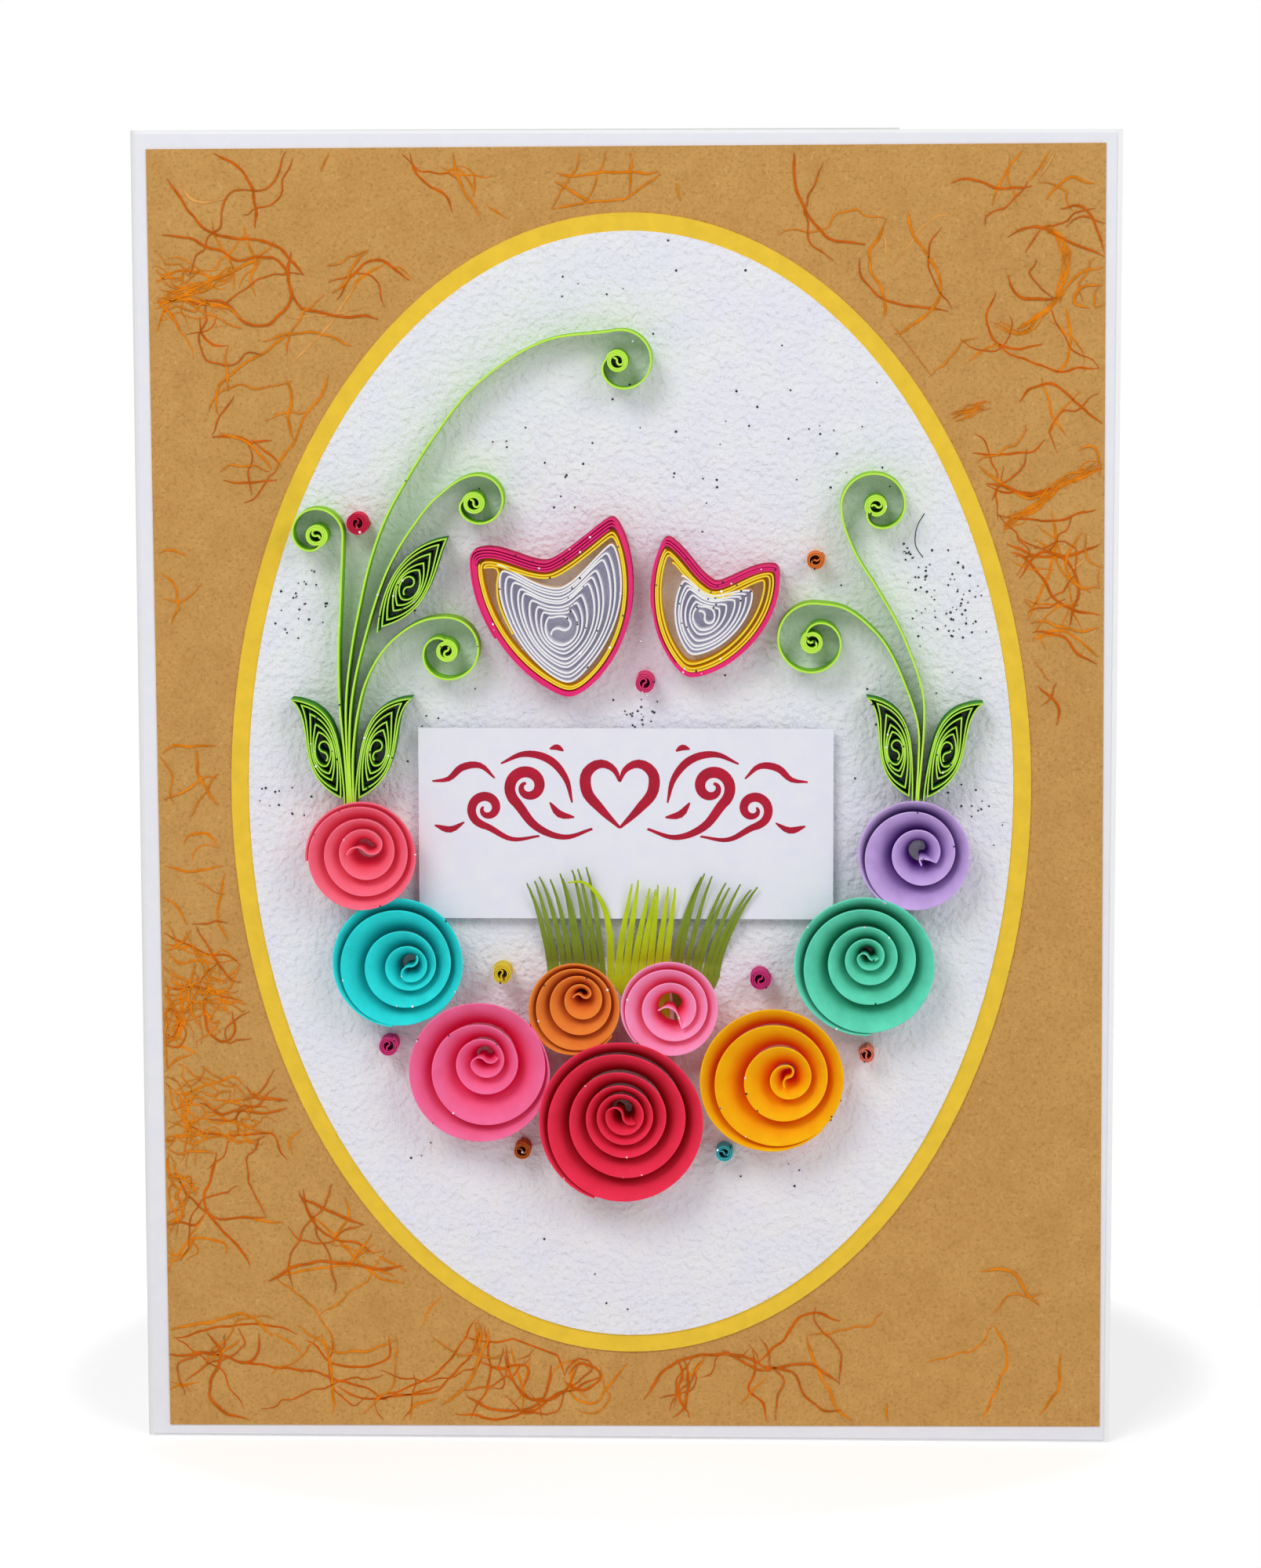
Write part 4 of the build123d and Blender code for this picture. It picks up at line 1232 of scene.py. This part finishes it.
def ribbon_mesh(path, widths, thickness, across=None):
    """Corners and faces of a flat ribbon along a path of (x, z, height), square to it or in a set direction."""
    count = len(path)
    vertices = []
    for place_, (x, z, height) in enumerate(path):
        before = path[max(place_ - 1, 0)]
        after = path[min(place_ + 1, count - 1)]
        ahead = Vector((after[0] - before[0], after[1] - before[1], after[2] - before[2])).normalized()
        flat = across or Vector((-ahead.y, ahead.x, 0.0)).normalized()
        facing = ahead.cross(flat)
        if facing.z < 0:
            facing = -facing
        half = widths[place_] / 2
        for side, rise in ribbon_section:
            spot = Vector((x, z, height)) + flat * side * half + facing * rise * thickness
            vertices.append(place(spot.x, spot.y, spot.z))
    return vertices, tube_faces(count, len(ribbon_section), reverse=True)


def merged(parts):
    """Several meshes as one list of corners and one of faces."""
    vertices = []
    faces = []
    for part_vertices, part_faces in parts:
        start = len(vertices)
        vertices += part_vertices
        faces += [tuple(corner + start for corner in face) for face in part_faces]
    return vertices, faces


def blade_path(points, draw):
    """A blade's line with its heights: it lies on the oval, climbs to the label's edge and rises over it."""
    under = white_face + grass_thickness / 2
    over = plaque_face + grass_clearance + grass_thickness / 2
    lift = draw.uniform(*blade_lift)
    top = max(z for x, z in points)
    path = []
    for x, z in points:
        if z < grass_rise_start:
            height = under
        elif z < label_edge - grass_clearance:
            rise = (z - grass_rise_start) / (label_edge - grass_clearance - grass_rise_start)
            height = under + (over - under) * rise
        else:
            height = over + lift * (z - label_edge) / (top - label_edge)
        path.append((x, z, height))
    return path


def add_grass():
    """Fringed strips: a foot behind the roses and blades that rise over the label's edge."""
    under = white_face + grass_thickness / 2
    for seed, (node, shape) in enumerate(grass.items(), first_seeds["grass"]):
        ends, low_end, blades, first_tip, last_tip, curl = shape
        draw = random.Random(seed)
        foot_left, foot_right = ends
        pitch = (foot_right - foot_left) / blades
        middle = (foot_left + foot_right) / 2
        foot = []
        widths = []
        for step in range(foot_steps + 1):
            share = step / foot_steps
            x, z = between((low_end, grass_foot_bottom), (middle, grass_foot_top), share)
            foot.append((x, z, under))
            widths.append((foot_right - foot_left) * (grass_foot_share + (1 - grass_foot_share) * share))
        parts = [ribbon_mesh(foot, widths, grass_thickness, Vector((-1.0, 0.0, 0.0)))]
        for blade in range(blades):
            tip = between(first_tip, last_tip, blade / (blades - 1))
            tip = (tip[0] + draw.uniform(*tip_aside), tip[1] + draw.uniform(*tip_along))
            start = (foot_left + (blade + 0.5) * pitch, grass_foot_top)
            bow = draw.uniform(*blade_bow)
            if node == "grass_middle" and blade == 0:
                points = smooth_line([start] + fallen_blade, (0, 1), (-1, 0))
            else:
                points = []
                for step in range(blade_steps + 1):
                    t = step / blade_steps
                    curled = curl * draw.uniform(*curl_scatter) * t**curl_power
                    x = start[0] + (tip[0] - start[0]) * t**bow + curled
                    points.append((x, start[1] + (tip[1] - start[1]) * t))
            widths = []
            for step in range(len(points)):
                t = step / (len(points) - 1)
                widths.append(blade_tip_width + (pitch - blade_gap - blade_tip_width) * (1 - t**2))
            parts.append(ribbon_mesh(blade_path(points, draw), widths, grass_thickness))
        vertices, faces = merged(parts)
        finished(f"{node}_paper", node, vertices, faces, paints[node])


def stroke_mesh(points, breadth):
    """A pen stroke on the label that swells towards its middle."""
    line = free_line(points)
    widths = []
    for place_ in range(len(line)):
        swell = sin(pi * place_ / (len(line) - 1))
        widths.append(breadth * (stroke_end_share + (1 - stroke_end_share) * swell))
    path = [(x, z, plaque_face + ink_lift) for x, z in line]
    return ribbon_mesh(path, widths, ink_thickness)


def curl_points(centre, radius, start_angle, turns, way):
    """Places along a curl that winds into its centre."""
    points = []
    steps = round(turns * curl_steps)
    for step in range(steps + 1):
        share = step / steps
        angle = start_angle + way * 360 * turns * share
        points.append(around(centre, radius * (1 - curl_shrink * share), angle))
    return points


# Strokes on the right half as places from label_middle, and their greatest breadth
label_strokes = [
    ([(0, -6.4), (3.6, -2.8), (6.3, 0.8), (6.1, 4.2), (3.5, 5.8), (1.0, 4.6), (0, 2.4)], 1.7),
    ([(5.2, -6.6), (10.4, -8.2), (15.8, -6.2), (19.4, -1.8)] + curl_points((17.4, 1.4), 3.6, -40, 1.3, 1), 1.7),
    ([(9.0, -1.6), (10.2, 3.0), (13.4, 6.6), (18.0, 7.6), (22.4, 5.8)], 1.2),
    ([(15.2, -8.0), (20.4, -8.6), (25.2, -6.2)] + curl_points((25.2, -2.8), 3.2, -75, 1.3, 1), 1.4),
    ([(23.6, 3.0), (26.4, 5.4), (29.8, 5.0), (32.4, 2.8), (35.4, 2.4)], 1.1),
    ([(29.4, -5.4), (32.0, -6.8), (35.0, -6.0)], 1.0),
    ([(8.6, -4.4), (11.4, -3.8), (13.2, -1.6)], 1.1),
    ([(10.6, 8.2), (11.8, 8.9), (13.2, 8.6)], 0.9),
]


def add_ornament():
    """A heart between two sprays of scrolls, drawn on the label in crimson."""
    parts = []
    for points, breadth in label_strokes:
        for side in (1, -1):
            drawn = []
            for x, z in points:
                drawn.append((label_middle[0] + side * x * label_scale, label_middle[1] + z * label_scale))
            parts.append(stroke_mesh(drawn, breadth))
    vertices, faces = merged(parts)
    material = paper("crimson_ink", linear(*ink_colour), **ink_look)
    finished("plaque_ornament", None, vertices, faces, material)


def on_oval(x, z, margin):
    """Whether a place lies on the white oval, at least a margin inside its edge."""
    low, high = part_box("white_oval")
    half_width = (high.x - low.x) / 2 / MM - margin
    half_height = (high.z - low.z) / 2 / MM - margin
    middle_x = (high.x + low.x) / 2 / MM
    middle_z = (high.z + low.z) / 2 / MM - leaf_middle
    return hypot((x - middle_x) / half_width, (z - middle_z) / half_height) < 1


def on_leaf(across, down, height):
    """The place on the leaf that the photograph shows at a pixel, for a surface at a height."""
    half = tan(radians(view_height) / 2)
    sight = Vector((
        (2 * across - photo_size[0]) / photo_size[1] * half, (1 - 2 * down / photo_size[1]) * half, -1.0
    ))
    sight.rotate(camera_turn)
    seen = Vector(camera_place) + sight * (leaf_y - height - camera_place[1]) / sight.y
    return seen.x, seen.z - leaf_middle


def on_kraft(x, z):
    """Whether a place lies on the kraft paper that shows, a little inside its edges."""
    low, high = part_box("kraft_sheet")
    inside = low.x / MM + kraft_margin < x < high.x / MM - kraft_margin
    inside = inside and low.z / MM + kraft_margin < z + leaf_middle < high.z / MM - kraft_margin
    return inside and not on_oval(x, z, -yellow_reach)


def fibre_mesh(pixels, seed, spread, breadth):
    """One wavering fibre through its places, cut short where it would leave the kraft paper that shows."""
    line = free_line([on_leaf(*pixel, kraft_face) for pixel in pixels])
    draw = random.Random(seed)
    shift = (draw.uniform(-spread, spread), draw.uniform(-spread, spread))
    path = []
    for x, z in line:
        at = Vector((x / fibre_waver_length, z / fibre_waver_length, seed * fibre_seed_step))
        x += shift[0] + (fibre_waver + spread) * noise.noise(at)
        z += shift[1] + (fibre_waver + spread) * noise.noise(at + fibre_other_row)
        if on_kraft(x, z):
            path.append((x, z, kraft_face + fibre_lift + fibre_layer * (seed % fibre_layers)))
    if len(path) < fibre_taper:
        return [], []
    widths = []
    for place_ in range(len(path)):
        taper = min(1.0, (place_ + 1) / fibre_taper, (len(path) - place_) / fibre_taper)
        widths.append(breadth * taper * draw.uniform(*fibre_unevenness))
    return ribbon_mesh(path, widths, fibre_thickness)


def branch(points, draw):
    """A fibre's pixels turned about one of them, for a finer fibre that crosses it there."""
    middle = draw.choice(points)
    turn = draw.choice((-1, 1)) * draw.uniform(*branch_turn)
    turned = []
    for point in points:
        across, down = (branch_scale * (point[axis] - middle[axis]) for axis in (0, 1))
        turned.append((
            middle[0] + across * cos(turn) - down * sin(turn), middle[1] + across * sin(turn) + down * cos(turn)
        ))
    return turned


def add_fibres():
    """Coloured fibres pressed into the face of the kraft paper."""
    draw = random.Random(fibre_seed)
    for kind, colour in fibre_colours.items():
        parts = []
        for points in fibre_lines[kind]:
            parts.append(fibre_mesh(points, len(parts), 0.0, draw.uniform(*fibre_breadth)))
            if len(points) >= branched_places:
                parts.append(fibre_mesh(branch(points, draw), len(parts), branch_stray, branch_breadth))
        if kind == "orange":
            for points, strands, spread in fibre_bundles:
                for _ in range(strands):
                    parts.append(fibre_mesh(points, len(parts), spread, draw.uniform(*strand_breadth)))
        vertices, faces = merged(parts)
        material = paper(f"fibre_{kind}", linear(*colour), **fibre_look)
        finished(f"kraft_fibres_{kind}", None, vertices, faces, material)


def fleck(spot, size, draw, tilt):
    """A flake of glitter with five or six corners, facing forwards within a tilt."""
    count = draw.choice((5, 6))
    turned = Euler((draw.uniform(-tilt, tilt), draw.uniform(-pi, pi), draw.uniform(-tilt, tilt)))
    corners = []
    for rise in (-fleck_rise, fleck_rise):
        for corner in range(count):
            angle = 2 * pi * corner / count + draw.uniform(-fleck_unevenness, fleck_unevenness)
            flat = Vector((size / 2 * cos(angle), rise, size / 2 * sin(angle)))
            flat.rotate(turned)
            corners.append(place(*spot) + flat * MM)
    faces = [tuple(range(count)), tuple(range(2 * count - 1, count - 1, -1))]
    for corner in range(count):
        after = (corner + 1) % count
        faces.append((corner, corner + count, after + count, after))
    return corners, faces


def add_glitter():
    """Loose glitter: dark and bright flakes on the white oval and on the strips' front edges, and a hair."""
    draw = random.Random(glitter_seed)
    parts = {"dark": [], "bright": []}

    def scatter(x, z, height, dark_share, lift, sizes, tilt):
        kind = "dark" if draw.random() < dark_share else "bright"
        height = min(height + lift, glitter_front)
        parts[kind].append(fleck((x, z, height), draw.uniform(*sizes), draw, tilt))

    for middle, spread, count in glitter_clusters:
        for _ in range(count):
            x = middle[0] + draw.gauss(0, spread)
            z = middle[1] + draw.gauss(0, spread)
            if on_oval(x, z, oval_margin):
                scatter(x, z, white_face, *oval_flecks)
    for edge in edges.values():
        for _ in range(max(2, len(edge) // edge_points_a_fleck)):
            scatter(*draw.choice(edge), *edge_flecks)
    hair = free_line([on_leaf(*pixel, white_face) for pixel in hair_line])
    hair = [(x, z, white_face + hair_lift) for x, z in hair]
    parts["dark"].append(ribbon_mesh(hair, [hair_breadth] * len(hair), hair_thickness))
    for kind, (colour, metallic) in glitter_looks.items():
        finish = Finish(f"glitter_{kind}")
        low, high = shades(linear(*colour), glitter_spread)
        shade = finish.ramp(finish.grain(glitter_mottling), low, high)
        finish.join(shade, finish.shader.inputs["Base Color"])
        finish.set(Metallic=metallic, Roughness=glitter_roughness)
        vertices, faces = merged(parts[kind])
        finished(f"glitter_{kind}", None, vertices, faces, finish.material)


def dress_frame():
    """Better materials for the flat layers and the folded card, put in the nodes' own slots."""
    looks = {"kraft_sheet": kraft(), "white_oval": embossed()}
    for node, (name, colour, look) in sheets.items():
        looks[node] = paper(name, linear(*colour), **look)
    for node, material in looks.items():
        for slot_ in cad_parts[node].material_slots:
            slot_.material = material


def kraft():
    """Unbleached fibre paper: cloudy browns with darker and paler flecks along the fibres."""
    finish = Finish("kraft_stock")
    brown, sand, dark, light = (linear(*colour) for colour in kraft_colours)
    base = finish.ramp(finish.grain(*kraft_clouds[0]), brown, sand, *kraft_clouds[1])
    for (grain, ends), share, colour in ((kraft_flecks, kraft_fleck_share, dark), (kraft_pale, 1, light)):
        cover = finish.ramp(finish.grain(*grain), (0, 0, 0, 1), (share, share, share, 1), *ends)
        base = finish.mixed(cover, base, colour)
    finish.join(base, finish.shader.inputs["Base Color"])
    finish.set(Roughness=kraft_roughness, Specular_IOR_Level=kraft_specular)
    finish.bumps(finish.grain(*kraft_tooth), *kraft_relief)
    return finish.material


def embossed():
    """White board with the close tooth of watercolour paper."""
    finish = Finish("white_stock")
    low, high = shades(linear(*board_colour), board_spread)
    finish.join(finish.ramp(finish.grain(*board_clouds), low, high), finish.shader.inputs["Base Color"])
    finish.set(Roughness=board_roughness, Specular_IOR_Level=board_specular)
    finish.bumps(finish.grain(*board_tooth), *board_relief)
    return finish.material


def add_camera():
    """The photograph's camera."""
    data = bpy.data.cameras.new("photo_camera")
    data.sensor_fit = "VERTICAL"
    data.sensor_height = sensor_height
    data.sensor_width = sensor_height
    data.lens = sensor_height / 2 / tan(radians(view_height) / 2)
    data.clip_start, data.clip_end = clip_range
    camera = linked("photo_camera", data)
    camera.location = Vector(camera_place) * MM
    camera.rotation_euler = camera_turn
    bpy.context.scene.camera = camera


def add_light(name, spot, size, power):
    """A square soft lamp that faces the card."""
    data = bpy.data.lights.new(name, "AREA")
    data.shape = "SQUARE"
    data.size = size
    data.energy = power
    light = linked(name, data)
    light.location = spot
    light.rotation_euler = (Vector(lamp_aim) - Vector(spot)).to_track_quat("-Z", "Y").to_euler()


def combined(tree, operation, first, second):
    """The result of a sum with two sources."""
    node = tree.nodes.new("ShaderNodeMath")
    node.operation = operation
    tree.links.new(first, node.inputs[0])
    tree.links.new(second, node.inputs[1])
    return node.outputs[0]


def seen_directly(tree):
    """One where a surface is seen directly, in gloss or through glass, and zero for other light."""
    path = tree.nodes.new("ShaderNodeLightPath").outputs
    seen = combined(tree, "MAXIMUM", path["Is Camera Ray"], path["Is Glossy Ray"])
    return combined(tree, "MAXIMUM", seen, path["Is Transmission Ray"])


def add_world():
    """Even soft light from all round, with a white background where it is seen."""
    world = bpy.data.worlds.new("studio")
    bpy.context.scene.world = world
    world.use_nodes = True
    tree = world.node_tree
    background = tree.nodes["Background"]
    background.inputs["Color"].default_value = (1, 1, 1, 1)
    strength = ranged(tree, seen_directly(tree), (0.0, 1.0), (world_light, 1.0))
    tree.links.new(strength, background.inputs["Strength"])


def add_floor():
    """A pale floor that keeps the card's shadow and turns to plain white further out."""
    mesh = bpy.data.meshes.new("studio_floor")
    corners = [(floor_half * x, floor_half * y, 0) for x, y in ((-1, -1), (1, -1), (1, 1), (-1, 1))]
    mesh.from_pydata(corners, [], [(0, 1, 2, 3)])
    floor = linked("studio_floor", mesh)
    material = bpy.data.materials.new("studio_floor")
    material.use_nodes = True
    tree = material.node_tree
    shader = tree.nodes["Principled BSDF"]
    shader.inputs["Base Color"].default_value = (floor_grey, floor_grey, floor_grey, 1)
    shader.inputs["Roughness"].default_value = floor_roughness
    coordinates = tree.nodes.new("ShaderNodeTexCoord")
    distance = tree.nodes.new("ShaderNodeVectorMath")
    distance.operation = "LENGTH"
    tree.links.new(coordinates.outputs["Object"], distance.inputs[0])
    fade = ranged(tree, distance.outputs["Value"], shadow_reach, (floor_glow, 1.0), "SMOOTHSTEP")
    glow = tree.nodes.new("ShaderNodeEmission")
    strength = ranged(tree, fade, (floor_glow, 1.0), (floor_level, 1.0))
    tree.links.new(strength, glow.inputs["Strength"])
    mix = tree.nodes.new("ShaderNodeMixShader")
    tree.links.new(combined(tree, "MULTIPLY", seen_directly(tree), fade), mix.inputs["Fac"])
    tree.links.new(shader.outputs[0], mix.inputs[1])
    tree.links.new(glow.outputs[0], mix.inputs[2])
    tree.links.new(mix.outputs[0], tree.nodes["Material Output"].inputs["Surface"])
    mesh.materials.append(material)


add_stems()
add_leaves()
add_tulips()
add_roses()
add_dots()
add_grass()
add_ornament()
add_fibres()
add_glitter()
dress_frame()
add_camera()
add_world()
add_floor()
for name, (spot, size, power) in lamps.items():
    add_light(name, spot, size, power)

bpy.context.scene.view_settings.view_transform = "Standard"
